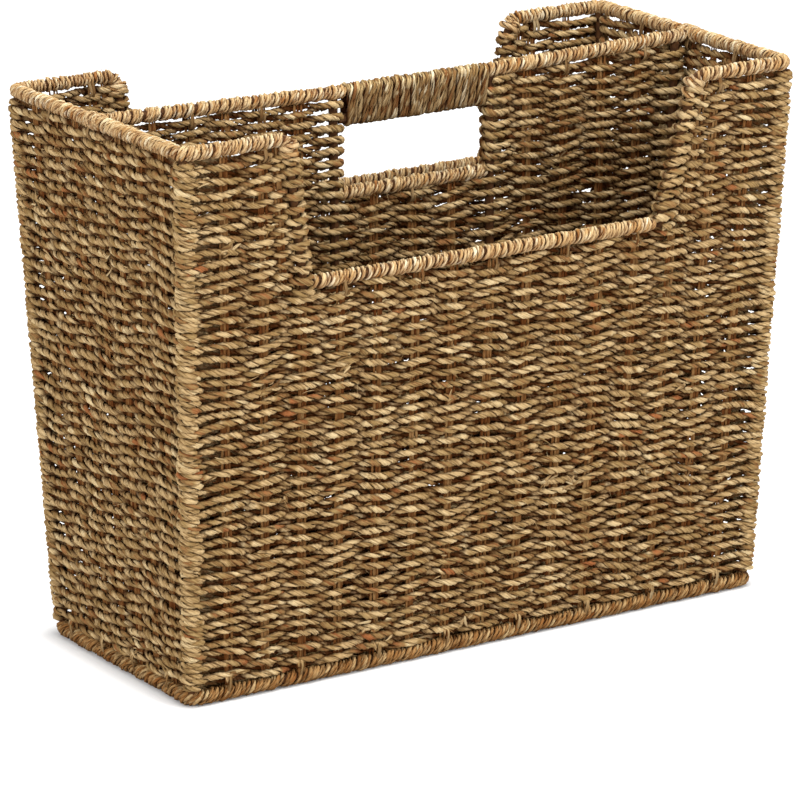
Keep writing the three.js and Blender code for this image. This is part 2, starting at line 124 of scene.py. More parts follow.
def even_line(controls: Array, step: float, closed: bool = False, samples: int = 6) -> Array:
    """A smooth line through control points, with its own points evenly spaced.

    Args:
        controls: The points that the line passes through. Further columns are carried along.
        step: About how far apart the new points are.
        closed: Whether the line joins up with its start.
        samples: How many points are tried between two control points.

    Returns:
        The new points. A closed line doesn't repeat its first point.
    """
    if closed:
        padded = np.vstack([controls[-1:], controls, controls[:2]])
    else:
        padded = np.vstack([2 * controls[0] - controls[1], controls, 2 * controls[-1] - controls[-2]])
    before, start, end, after = padded[:-3], padded[1:-2], padded[2:-1], padded[3:]
    t = np.linspace(0, 1, samples, endpoint=False)[:, None, None]
    bend = 2 * before - 5 * start + 4 * end - after
    twist = 3 * start - before - 3 * end + after
    dense = 0.5 * (2 * start + (end - before) * t + bend * t**2 + twist * t**3)
    dense = dense.transpose(1, 0, 2).reshape(-1, controls.shape[1])
    dense = np.vstack([dense, controls[:1] if closed else controls[-1:]])
    lengths = distance_along(dense)
    count = max(4, round(lengths[-1] / step))
    marks = np.linspace(0, lengths[-1], count + 1)
    return read_at(marks[:-1] if closed else marks, lengths, dense)


def bent_line(corners: Sequence[Array], bend: float, step: float, arc_steps: int = 9) -> Array:
    """A line of straights with round bends at its inner corners.

    Args:
        corners: The corners, with both ends.
        bend: The radius of every bend.
        step: About how far apart the points are.
        arc_steps: How many points are tried in a bend.

    Returns:
        The points, evenly spaced.
    """
    points = [corners[0]]
    for before, corner, after in zip(corners, corners[1:], corners[2:]):
        arriving, leaving = unit(corner - before), unit(after - corner)
        turn = math.acos(float(np.clip(arriving @ leaving, -1, 1)))
        inward = unit(leaving - (leaving @ arriving) * arriving)
        centre = corner - bend * math.tan(turn / 2) * arriving + bend * inward
        for angle in np.linspace(0, turn, arc_steps):
            points.append(centre + bend * (math.sin(angle) * arriving - math.cos(angle) * inward))
    points = np.array([*points, corners[-1]])
    lengths = distance_along(points)
    marks = np.linspace(0, lengths[-1], max(4, round(lengths[-1] / step)))
    return read_at(marks, lengths, points)


def drift(rng: np.random.Generator, along: Array, spacing: float, spread: float, closed: bool = False,
          columns: tuple[int, ...] = ()) -> Array:
    """A value that wanders slowly along a line.

    Args:
        rng: The source of chance.
        along: The distance travelled at each point.
        spacing: How far apart the chance values are.
        spread: The most that the value strays from 0.
        closed: Whether the value comes back to its start at the line's end.
        columns: How many values a point has, where it has more than one.

    Returns:
        The values at each point.
    """
    length = along[-1] + (along[1] - along[0] if closed else 0.0)
    cells = max(1, round(length / spacing))
    values = rng.uniform(-spread, spread, (cells + 2, *columns))
    if closed:
        values[cells:] = values[:2]
    place = along / length * cells
    cell = np.minimum(place.astype(int), cells)
    share = smoothstep(place - cell).reshape(-1, *(1 for _ in columns))
    return values[cell] * (1 - share) + values[np.minimum(cell + 1, cells + 1)] * share


def tangents(points: Array, closed: bool) -> Array:
    """The direction of travel at each point of a line, which may join up with its start."""
    if closed:
        return unit(np.roll(points, -1, axis=0) - np.roll(points, 1, axis=0))
    return unit(np.vstack([points[1:], points[-1:]]) - np.vstack([points[:1], points[:-1]]))


@dataclass
class Line:
    """A line that a cord or a strand follows.

    Attributes:
        points: Its points, evenly spaced.
        facing: A direction at each point that stays square to the line as it turns.
        closed: Whether it joins up with its start.
        swell: How many times its usual thickness what follows the line has at each point.
    """

    points: Array
    facing: Array
    closed: bool = False
    swell: Array | float = 1.0

    @classmethod
    def level(cls, points: Array, closed: bool = False, swell: Array | float = 1.0) -> "Line":
        """A line that runs about level, and faces out to the right of its travel."""
        return cls(points, unit(np.cross(tangents(points, closed), UP)), closed, swell)

    @classmethod
    def through(cls, controls: Array, facings: Array, step: float) -> "Line":
        """A smooth line through control points that each have a facing.

        Args:
            controls: The points.
            facings: The facing at each of them.
            step: About how far apart the new points are.

        Returns:
            The line.
        """
        points = even_line(controls, step)
        known = distance_along(controls)
        marks = np.linspace(0, known[-1], len(points))
        return cls(points, unit(read_at(marks, known, facings)))

    def axes(self) -> tuple[Array, Array, Array]:
        """The travel, the facing and the third direction square to both, at each point."""
        travel = tangents(self.points, self.closed)
        out = unit(self.facing - np.sum(self.facing * travel, axis=1, keepdims=True) * travel)
        return travel, out, np.cross(out, travel)


# Blades of seagrass and what is made of them


@dataclass(frozen=True)
class BladeTints:
    """How the colour of one blade after another is drawn.

    A tint is a place on the finish's colour ramp, from 0, rusty, to 1, the palest straw.

    Attributes:
        common: The tints of most blades, lowest and highest.
        rusty_share: How many blades are rusty.
        pale_share: How many blades are pale.
        stretch: The shortest and the longest stretch of a ply that one blade covers.
        rusty: The tints of the rusty blades.
        pale: The tints of the pale blades.
    """

    common: tuple[float, float] = (0.18, 0.82)
    rusty_share: float = 0.012
    pale_share: float = 0.03
    stretch: tuple[float, float] = (6.0, 20.0)
    rusty: tuple[float, float] = (0.0, 0.15)
    pale: tuple[float, float] = (0.8, 1.0)

    def along(self, rng: np.random.Generator, along: Array) -> Array:
        """The tint at each point of a ply.

        Args:
            rng: The source of chance.
            along: The distance travelled at each point.

        Returns:
            One tint a point.
        """
        count = int(along[-1] / self.stretch[0]) + 2
        blade = np.searchsorted(np.cumsum(rng.uniform(*self.stretch, count)), along)
        chance = rng.random(count + 1)
        tint = rng.uniform(*self.common, count + 1)
        tint = np.where(chance < self.rusty_share, rng.uniform(*self.rusty, count + 1), tint)
        return np.where(chance > 1 - self.pale_share, rng.uniform(*self.pale, count + 1), tint)[blade]


@dataclass
class Tube:
    """One solid strand: a run of oval sections.

    Attributes:
        centres: The middle of each section.
        out: The direction of each section's thickness.
        thickness: Half the thickness of each section.
        width: Half the width of each section.
        tint: The tint at each section.
        closed: Whether the strand joins up with its start.
    """

    centres: Array
    out: Array
    thickness: Array
    width: Array
    tint: Array
    closed: bool


@dataclass(frozen=True)
class Strand:
    """A strand of a few blades side by side, oval across.

    Attributes:
        width: Its width.
        thickness: Its thickness.
        unevenness: The share by which both stray.
        tints: The colours of its blades.
        wander: How far apart it swells and thins.
        tip_share: The size of its ends, as a share of its usual size.
    """

    width: float
    thickness: float
    unevenness: float = 0.15
    tints: BladeTints = BladeTints()
    wander: float = 14.0
    tip_share: float = 0.4

    @property
    def reach(self) -> float:
        """From its middle to its outside."""
        return self.thickness / 2

    def tubes(self, line: Line, rng: np.random.Generator) -> list[Tube]:
        """The strand along a line.

        Args:
            line: The line that it follows.
            rng: The source of chance.

        Returns:
            One tube.
        """
        along = distance_along(line.points)
        swell = line.swell * (1 + drift(rng, along, self.wander, self.unevenness, line.closed))
        if not line.closed:
            swell[[0, -1]] *= self.tip_share
        out = line.axes()[1]
        tint = self.tints.along(rng, along)
        return [Tube(line.points, out, swell * self.thickness / 2, swell * self.width / 2, tint, line.closed)]


@dataclass(frozen=True)
class Cord:
    """Two plies of seagrass blades twisted together.

    Attributes:
        ply: One ply.
        spread: From the cord's middle to the middle of a ply.
        lay: The length of one full twist.
        lay_unevenness: The share by which the twist strays.
        twist_wander: How far apart the twist tightens and slackens.
    """

    ply: Strand
    spread: float
    lay: float
    lay_unevenness: float = 0.25
    twist_wander: float = 45.0

    @property
    def reach(self) -> float:
        """From its middle to its outside."""
        return self.spread + self.ply.thickness / 2

    def tubes(self, line: Line, rng: np.random.Generator) -> list[Tube]:
        """The two plies along a line.

        Args:
            line: The line that the cord's middle follows.
            rng: The source of chance.

        Returns:
            One tube for each ply.
        """
        _, out, rise = line.axes()
        turn = self._turn(line, rng)
        flattened = np.broadcast_to(line.swell, len(line.points))[:, None] ** 2
        made = []
        for half_turn in (0.0, math.pi):
            angle = (turn + half_turn)[:, None]
            outward, upward = np.cos(angle) * out, np.sin(angle) * rise
            points = line.points + self.spread * (outward + flattened * upward)
            made += self.ply.tubes(Line(points, outward + upward, line.closed, line.swell), rng)
        return made

    def _turn(self, line: Line, rng: np.random.Generator) -> Array:
        """How far the plies have turned at each point, which is a whole number of turns on a closed line."""
        along = distance_along(line.points)
        rate = 1 + drift(rng, along, self.twist_wander, self.lay_unevenness, line.closed)
        step = (along[1] - along[0]) * 2 * math.pi / self.lay
        turn = np.cumsum(rate) * step
        turn -= turn[0]
        if line.closed:
            whole = turn[-1] + rate[0] * step
            turn *= max(1, round(whole / (2 * math.pi))) * 2 * math.pi / whole
        return rng.uniform(0, 2 * math.pi) - turn


def shade_evenly(points: Array, exposure: float = 0.75) -> Array:
    """The exposure of a strand that lies equally open all round, which paints it with an even shade."""
    return np.full(points.shape[:-1], exposure)


def shade_by_depth(depth: Array, hollow: float = 0.2, crown: float = 3.0) -> Array:
    """How open to the light a point of a weave lies, by its distance from the weave's middle.

    Args:
        depth: The distance, on either side.
        hollow: The distance at and below which it lies in a hollow.
        crown: The distance at and above which it lies open.

    Returns:
        The exposure, from 0 to 1.
    """
    return smoothstep((np.abs(depth) - hollow) / (crown - hollow))


def shade_round(points: Array, middles: Array, inner: Array, depth: float, underside_shade: float = 0.5) -> Array:
    """How open to the light the points of a winding are, with a painted shade that darkens its underside.

    Args:
        points: The points of each section of a strand.
        middles: The middle of the wire beside each section.
        inner: The radius under the winding at each section.
        depth: The thickness of the winding.
        underside_shade: How much darker the painted shade makes the winding below than on top.

    Returns:
        The exposure, from 0 to 1.
    """
    gap = points - middles[:, None]
    away = np.linalg.norm(gap, axis=-1)
    # Painted shade: the underside of the winding is darkened and its top kept light, as light from above would
    # leave them.
    below = (1 - gap[..., 2] / np.maximum(away, 1e-6)) / 2
    return smoothstep((away - inner) / (depth * 0.7) - 0.42) * (1 - underside_shade * below)


class StrandMesh:
    """Gathers tubes and makes one object of them, with its strips laid out for a baked texture.

    Each strand's skin is folded as a dried leaf is: its two edges are sharp, and its sides swell and sink.
    """

    BAKE_MARGIN = 0.012
    CAP_SHARE = 0.35
    STRIP_SHARE = 0.9
    GRAIN_SPREAD = 500.0
    FOLD_LENGTH = 5.0
    FOLD_DEPTH = 0.27

    def __init__(self, name: str, sides: int = 6) -> None:
        """Starts an empty piece.

        Args:
            name: Its name.
            sides: How many sides the sections of its strands have.
        """
        self.name = name
        self.sides = sides
        self.tubes: list[Tube] = []
        self.exposures: list[Exposure] = []

    def add(self, tubes: Iterable[Tube], exposure: Exposure = shade_evenly) -> None:
        """Adds tubes to the piece.

        Args:
            tubes: The tubes.
            exposure: Gives how open to the light each of their points lies, from 0 to 1.
        """
        for tube in tubes:
            self.tubes.append(tube)
            self.exposures.append(exposure)

    def build(self) -> bpy.types.Object:
        """Makes the object, in metres.

        Returns:
            The object, linked to the scene.
        """
        sides = self.sides
        angles = math.pi * (0.5 + 2 * np.arange(sides) / sides)
        lengths = [distance_along(tube.centres)[-1] for tube in self.tubes]
        strips = self._strips(lengths)
        points, grains, tints, exposures = [], [], [], []
        quads, quad_maps, caps, cap_maps = [], [], [], []
        first, band, bands = 0, 0, sum(strips)
        rng = np.random.default_rng(len(self.tubes))
        for tube, exposure, held in zip(self.tubes, self.exposures, strips):
            count = len(tube.centres)
            across = np.cross(tangents(tube.centres, tube.closed), tube.out)
            along = distance_along(tube.centres)
            fold = 1 + drift(rng, along, self.FOLD_LENGTH, self.FOLD_DEPTH, tube.closed, (sides,))
            thick = tube.thickness[:, None] * np.cos(angles) * fold
            wide = tube.width[:, None] * np.sin(angles) * fold
            surface = (tube.centres[:, None] + thick[..., None] * tube.out[:, None]
                       + wide[..., None] * across[:, None])
            points.append(surface.reshape(-1, 3))
            grain = np.stack([np.repeat(along[:, None], sides, axis=1), thick, wide], axis=2)
            grain += rng.uniform(0, self.GRAIN_SPREAD, 3)
            grains.append(grain.reshape(-1, 3))
            tints.append(np.repeat(tube.tint, sides))
            exposures.append(exposure(surface).reshape(-1))
            columns = count if tube.closed else count - 1
            ring, ahead = np.arange(columns)[:, None] * sides, (np.arange(columns)[:, None] + 1) % count * sides
            side, next_side = np.arange(sides), (np.arange(sides) + 1) % sides
            corners = [ring + side, ring + next_side, ahead + next_side, ahead + side]
            quads.append(first + np.stack(corners, axis=2).reshape(-1, 4))
            quad_maps.append(self._strip_map(columns, held, band, bands))
            if not tube.closed:
                caps += [first + side[::-1], first + (count - 1) * sides + side]
                cap_maps += [self._cap_map(angles, False, band, bands),
                             self._cap_map(angles, True, band + held - 1, bands)]
            first += count * sides
            band += held
        return self._link(points, quads, caps, quad_maps + cap_maps, grains, tints, exposures)

    def _strips(self, lengths: Sequence[float]) -> list[int]:
        """How many strips of the texture each tube needs, so that its texels are about square."""
        girth = np.mean([math.pi * (tube.thickness.mean() + tube.width.mean()) for tube in self.tubes])
        strip = max(math.sqrt(sum(lengths) * girth), 1.0)
        return [max(1, round(length / strip)) for length in lengths]

    def _strip_map(self, columns: int, strips: int, band: int, bands: int) -> Array:
        """The texture places of a tube's faces.

        Args:
            columns: How many faces the tube is long.
            strips: How many strips they are shared among.
            band: The first of these strips.
            bands: How many strips the whole piece has.

        Returns:
            Four corners for each face.
        """
        column = np.arange(columns)
        starts = np.ceil(np.arange(strips + 1) * columns / strips)
        strip = np.minimum(column * strips // columns, strips - 1)
        held = starts[strip + 1] - starts[strip]
        inner = 1 - 2 * self.BAKE_MARGIN
        start = self.BAKE_MARGIN + inner * (column - starts[strip]) / held
        left = np.repeat(start[:, None], self.sides, axis=1)
        right = left + (inner / held)[:, None]
        row = 0.5 + self.STRIP_SHARE * (np.arange(self.sides + 1) / self.sides - 0.5)
        height = (band + strip[:, None] + row) / bands
        low, high = height[:, :-1], height[:, 1:]
        corners = [(left, low), (left, high), (right, high), (right, low)]
        return np.stack([np.stack(corner, axis=2) for corner in corners], axis=2).reshape(-1, 2)

    def _cap_map(self, angles: Array, at_end: bool, band: int, bands: int) -> Array:
        """The texture places of a tube's flat end, in the margin beside its strip."""
        middle = 1 - self.BAKE_MARGIN / 2 if at_end else self.BAKE_MARGIN / 2
        width = middle + self.BAKE_MARGIN * self.CAP_SHARE * np.cos(angles)
        return np.stack([width, (band + 0.5 + self.CAP_SHARE * np.sin(angles)) / bands], axis=1)

    def _link(self, points: list, quads: list, caps: list, maps: list, grains: list, tints: list,
              exposures: list) -> bpy.types.Object:
        """Writes the gathered arrays to a mesh and links its object to the scene."""
        faces = np.concatenate(quads)
        corners = np.concatenate([faces.reshape(-1), *caps]).astype(np.int32)
        sizes = np.concatenate([np.full(len(faces), 4), np.full(len(caps), self.sides)])
        where = np.concatenate(points) * MM
        mesh = bpy.data.meshes.new(self.name)
        mesh.vertices.add(len(where))
        mesh.vertices.foreach_set("co", where.astype(np.float32).ravel())
        mesh.loops.add(len(corners))
        mesh.loops.foreach_set("vertex_index", corners)
        mesh.polygons.add(len(sizes))
        mesh.polygons.foreach_set("loop_start", np.concatenate([[0], np.cumsum(sizes)[:-1]]).astype(np.int32))
        mesh.polygons.foreach_set("use_smooth", np.ones(len(sizes), bool))
        bake = mesh.uv_layers.new(name="OFBake")
        bake.data.foreach_set("uv", np.concatenate(maps).astype(np.float32).ravel())
        grain = mesh.attributes.new("grain", "FLOAT_VECTOR", "POINT")
        grain.data.foreach_set("vector", np.concatenate(grains).astype(np.float32).ravel())
        # The exposure carries the painted shade: where it is low, the finish darkens a point's colour towards its
        # hollow colour.
        for name, values in (("tint", tints), ("exposure", exposures)):
            attribute = mesh.attributes.new(name, "FLOAT", "POINT")
            attribute.data.foreach_set("value", np.concatenate(values).astype(np.float32))
        mesh.update(calc_edges=True)
        mesh.validate()
        ends = np.empty(2 * len(mesh.edges), np.int32)
        mesh.edges.foreach_get("vertices", ends)
        side, other = (ends.reshape(-1, 2) % self.sides).T
        sharp = mesh.attributes.new("sharp_edge", "BOOLEAN", "EDGE")
        sharp.data.foreach_set("value", (side == other) & (side % (self.sides // 2) == 0))
        made = bpy.data.objects.new(self.name, mesh)
        bpy.context.scene.collection.objects.link(made)
        return made


@dataclass(frozen=True)
class Dress:
    """A finish, with the record's slot that it belongs to."""

    material: bpy.types.Material
    slot: Slot

    def put_on(self, mesh: StrandMesh, nodes: Sequence[str] = ()) -> bpy.types.Object:
        """Makes a piece, dresses it and sets it on the basket's body.

        Args:
            mesh: The gathered tubes of the piece.
            nodes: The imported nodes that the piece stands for.

        Returns:
            The piece.
        """
        piece = mesh.build()
        piece.data.materials.append(self.material)
        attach(piece, BODY)
        if nodes:
            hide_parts(*nodes)
        log.info("%s: %d faces", piece.name, len(piece.data.polygons))
        return piece


# The basket's sizes


def node_box(node: str) -> tuple[Array, Array]:
    """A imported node's lowest and highest corners, in millimetres."""
    low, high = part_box(node)
    return np.array(low) / MM, np.array(high) / MM


@dataclass(frozen=True)
class BasketSizes:
    """The places of the frame's wires, in millimetres.

    Attributes:
        wire_radius: Half the thickness of every wire.
        base_height: The height of the base ring's middle.
        base_half_length: Half the length between the ring's short sides.
        base_half_depth: Half the depth between the ring's long sides.
        rim_height: The height of the rim wires' middle.
        grip_rim_height: The height to which the divider's rim wire dips at the grip.
        rim_half_length: Half the length between the end rims.
        rim_half_depth: Half the depth between the ears.
        low_rim_height: The height of the low rims.
        sill_height: The height of the hand opening's sill wire.
        grip_wire_height: The height of the grip's lower wire.
        uprights: The places of the uprights beside the hand opening, left and right.
        ear_length: The length of an ear at the rim, to its woven edge.
        cut_slants: How far the cut-away's left and right edges slant in between the rim and the low rim.
        edge_cover: The thickness of weave outside the wire at a woven edge.
        corner_bend: The bend of the wires at the corners.
        end_wall_inside: From the middle of an end wall to the divider's woven edge.
    """

    wire_radius: float
    base_height: float
    base_half_length: float
    base_half_depth: float
    rim_height: float
    grip_rim_height: float
    rim_half_length: float
    rim_half_depth: float
    low_rim_height: float
    sill_height: float
    grip_wire_height: float
    uprights: tuple[float, float]
    ear_length: float = 71.2
    cut_slants: tuple[float, float] = (12.7, 20.6)
    edge_cover: float = 6.7
    corner_bend: float = 5.5
    end_wall_inside: float = 4.8

    @classmethod
    def from_frame(cls) -> "BasketSizes":
        """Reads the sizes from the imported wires.

        Returns:
            The sizes.
        """
        ring_low, ring_high = node_box("base_ring_wire")
        rim_low, rim_high = node_box("end_rim_wire_left")
        radius = (ring_high[2] - ring_low[2]) / 2
        names = ("low_rim_wire_front", "opening_sill_wire", "grip_lower_wire")
        low_rim, sill, grip = (sum(node_box(name))[2] / 2 for name in names)
        left, right = (sum(node_box(f"opening_upright_{end.name.lower()}"))[0] / 2 for end in End)
        return cls(
            wire_radius=radius,
            base_height=ring_low[2] + radius,
            base_half_length=ring_high[0] - radius,
            base_half_depth=ring_high[1] - radius,
            rim_height=rim_high[2] - radius,
            grip_rim_height=node_box("divider_rim_wire")[0][2] + radius,
            rim_half_length=-rim_low[0] - radius,
            rim_half_depth=rim_high[1] - radius,
            low_rim_height=low_rim,
            sill_height=sill,
            grip_wire_height=grip,
            uprights=(left, right),
        )

    def rise(self, height: Array) -> Array:
        """How far up the leaning walls a height is, from 0 at the base ring to 1 at the rim."""
        return (height - self.base_height) / (self.rim_height - self.base_height)

    def half_length(self, height: Array) -> Array:
        """Half the length between the middles of the end walls, at a height."""
        return self.base_half_length + (self.rim_half_length - self.base_half_length) * self.rise(height)

    def half_depth(self, height: Array) -> Array:
        """Half the depth between the middles of the front and back walls, at a height."""
        return self.base_half_depth + (self.rim_half_depth - self.base_half_depth) * self.rise(height)

    def leg(self, end: End, height: Array) -> Array:
        """How far a leg of the cut-away stands from the middle, at a height."""
        fall = (self.rim_height - height) / (self.rim_height - self.low_rim_height)
        slant = self.cut_slants[0] if end is End.LEFT else self.cut_slants[1]
        return self.rim_half_length - self.ear_length - slant * fall + self.edge_cover

    def divider_post(self, height: Array) -> Array:
        """How far the divider's end posts stand from the middle, at a height."""
        return self.half_length(height) - self.end_wall_inside - self.edge_cover

    def divider_rim(self, along: Array) -> Array:
        """The height of the divider's rim wire, which dips from its two ends to the uprights, at a place."""
        upright = np.where(np.asarray(along) < 0, -self.uprights[0], self.uprights[1])
        share = np.clip((np.abs(along) - upright) / (self.rim_half_length - upright), 0, 1)
        return self.grip_rim_height + (self.rim_height - self.grip_rim_height) * share

    @property
    def post_inset(self) -> float:
        """How far a corner post stands inside the walls' middles."""
        return self.corner_bend * (1 - math.sqrt(0.5))


# The weave


@dataclass(frozen=True)
class Panel:
    """A flat stretch of weave.

    Attributes:
        travel: The way that its rows run.
        out: The way that it faces.
        stack: The way that its rows follow one another.
        middle: How far out its middle lies, at a place in the stack.
    """

    travel: Array
    out: Array
    stack: Array
    middle: Callable[[Array], Array]

    def at(self, along: Array, off: Array, place: Array) -> Array:
        """Points of the panel.

        Args:
            along: How far along the rows.
            off: How far out from the panel's middle.
            place: Where in the stack.

        Returns:
            One point for each place.
        """
        along, off, place = (np.asarray(value, float)[..., None] for value in (along, off, place))
        return self.travel * along + self.out * (self.middle(place) + off) + self.stack * place


def woven_line(middles: Array, offsets: Array, parts: int = 4, hold: float = 0.1) -> Array:
    """The points of a cord that passes one stake or wire after another.

    Args:
        middles: The middle of each stake or wire. Further columns are carried along.
        offsets: From each middle to the cord beside it.
        parts: How many points there are from one stake to the next.
        hold: The share of the way for which the cord keeps its side by each stake.

    Returns:
        The points, with both ends.
    """
    grid = np.arange((len(middles) - 1) * parts + 1) / parts
    cell = np.minimum(grid.astype(int), len(middles) - 2)
    share = (grid - cell)[:, None]
    crossing = np.clip((share - hold) / (1 - 2 * hold), 0, 1)
    ease = (1 - np.cos(math.pi * crossing)) / 2
    straight = middles[cell] * (1 - share) + middles[cell + 1] * share
    return straight + offsets[cell] * (1 - ease) + offsets[cell + 1] * ease


def back_and_forth(rows: Sequence[Array], reaches: tuple[Array, Array], turn_steps: int = 6) -> Array:
    """Joins rows to one cord that turns back at each row's end.

    Args:
        rows: The points of each row, all running the same way.
        reaches: How far and which way the turns go past the rows' first and past their last ends.
        turn_steps: How many hops a half turn has.

    Returns:
        The points of the cord.
    """
    laid = [row[::-1] if index % 2 else row for index, row in enumerate(rows)]
    angle = math.pi * np.arange(1, turn_steps)[:, None] / turn_steps
    share = (1 - np.cos(angle)) / 2
    joined = [laid[0]]
    for index, (before, after) in enumerate(zip(laid, laid[1:])):
        past = reaches[1 - index % 2]
        joined += [before[-1] * (1 - share) + after[0] * share + np.sin(angle) * past, after]
    return np.vstack(joined)


@dataclass(frozen=True)
class Beating:
    """How unevenly the rows of a weave were beaten down, so that they lie closer here and looser there.

    Attributes:
        amount: How far rows lie from their even places, on average.
        spacing: About how far apart close and loose places are.
        waves: How many slow waves make up the unevenness.
        seed: The seed of its chance.
    """

    amount: float = 1.15
    spacing: float = 62.0
    waves: int = 9
    seed: int = 5

    SPREAD = (0.65, 1.5)

    def shift(self, points: Array) -> Array:
        """How far the rows are shifted at some points.

        Args:
            points: The points.

        Returns:
            One shift a point.
        """
        rng = np.random.default_rng(self.seed)
        lengths = self.spacing * rng.uniform(*self.SPREAD, (self.waves, 1))
        ways = unit(rng.normal(size=(self.waves, 3))) * 2 * math.pi / lengths
        phases = rng.uniform(0, 2 * math.pi, self.waves)
        return self.amount * math.sqrt(2 / self.waves) * np.sin(points @ ways.T + phases).sum(axis=1)


@dataclass(frozen=True)
class Weaver:
    """The cord that is woven, and how it passes stakes and wires.

    Attributes:
        cord: The cord.
        sway: How far the cord's middle lies out from the panel's middle beside a stake.
        wire_reach: From the middle of a wire to the middle of the cord that passes it.
        bulge: The share by which the cord spreads where it turns round a wire, and is squeezed at a corner.
        wander: How far a row strays up and down.
        wander_length: How far apart it does so.
        beating: The unevenness that neighbouring rows share.
        step: How far apart the sections of a cord are.
        sides: How many sides they have.
    """

    cord: Cord
    sway: float = 1.9
    wire_reach: float = 4.3
    bulge: float = 0.15
    wander: float = 0.85
    wander_length: float = 24.0
    beating: Beating = Beating()
    step: float = 2.0
    sides: int = 8

    BULGE_POWER = 4

    def passing(self, row: int, stake: int) -> int:
        """1 where a row passes outside a stake, and -1 where it passes inside."""
        return 1 if (row + stake) % 2 == 0 else -1

    def laid(self, controls: Array, rng: np.random.Generator, stack: Array, edges: tuple[float, float],
             closed: bool = False) -> Line:
        """The line of a cord, a little uneven as it was laid by hand.

        Args:
            controls: The points that it passes through, with a fourth column that is 1 where it turns round
                a wire, and -1 at a corner post, where the rows crowd.
            rng: The source of chance.
            stack: The way that the rows follow one another.
            edges: The places of the first and the last row in the stack, which were laid evenly.
            closed: Whether the cord joins up with its start.

        Returns:
            The line.
        """
        points = even_line(controls, self.step, closed)
        beside = np.clip(points[:, 3], -1, 1)
        points = points[:, :3]
        place = points @ stack
        inside = np.minimum(np.abs(place - edges[0]), np.abs(edges[1] - place)) / self.beating.spacing
        stray = drift(rng, distance_along(points), self.wander_length, self.wander, closed)
        shift = stray * (1 - np.abs(beside) / 2) + self.beating.shift(points) * smoothstep(3 * inside + 0.1)
        swell = 1 + self.bulge * np.sign(beside) * beside**self.BULGE_POWER
        return Line.level(points + shift[:, None] * stack, closed, swell)


@dataclass(frozen=True)
class Stake:
    """A few thin strands side by side, which the cords are woven round.

    Attributes:
        strand: One strand.
        count: How many strands there are.
        pitch: From one strand to the next.
        step: How far apart a strand's sections are.
        wander: How far a strand strays sideways.
        wander_length: How far apart it does so.
    """

    strand: Strand
    count: int = 3
    pitch: float = 2.0
    step: float = 6.0
    wander: float = 0.55
    wander_length: float = 30.0

    def tubes(self, ends: Array, travel: Array, out: Array, rng: np.random.Generator) -> list[Tube]:
        """The strands of one stake.

        Args:
            ends: Its two ends.
            travel: The way that the rows run past it.
            out: The way that it faces.
            rng: The source of chance.

        Returns:
            One tube a strand.
        """
        made = []
        count = max(4, round(float(np.linalg.norm(ends[1] - ends[0])) / self.step))
        share = np.linspace(0, 1, count)[:, None]
        straight = ends[0] * (1 - share) + ends[1] * share
        for number in range(self.count):
            stray = drift(rng, distance_along(straight), self.wander_length, self.wander)
            sideways = (number - (self.count - 1) / 2) * self.pitch + stray
            points = straight + sideways[:, None] * travel
            made += self.strand.tubes(Line(points, np.tile(out, (count, 1))), rng)
        return made


@dataclass
class Weave:
    """What every woven part has.

    Attributes:
        sizes: The basket's sizes.
        weaver: The weaving cord.
        stake: The stakes.
        cord_dress: The finish of the cords.
        stake_dress: The finish of the stakes.
    """

    sizes: BasketSizes
    weaver: Weaver
    stake: Stake
    cord_dress: Dress
    stake_dress: Dress


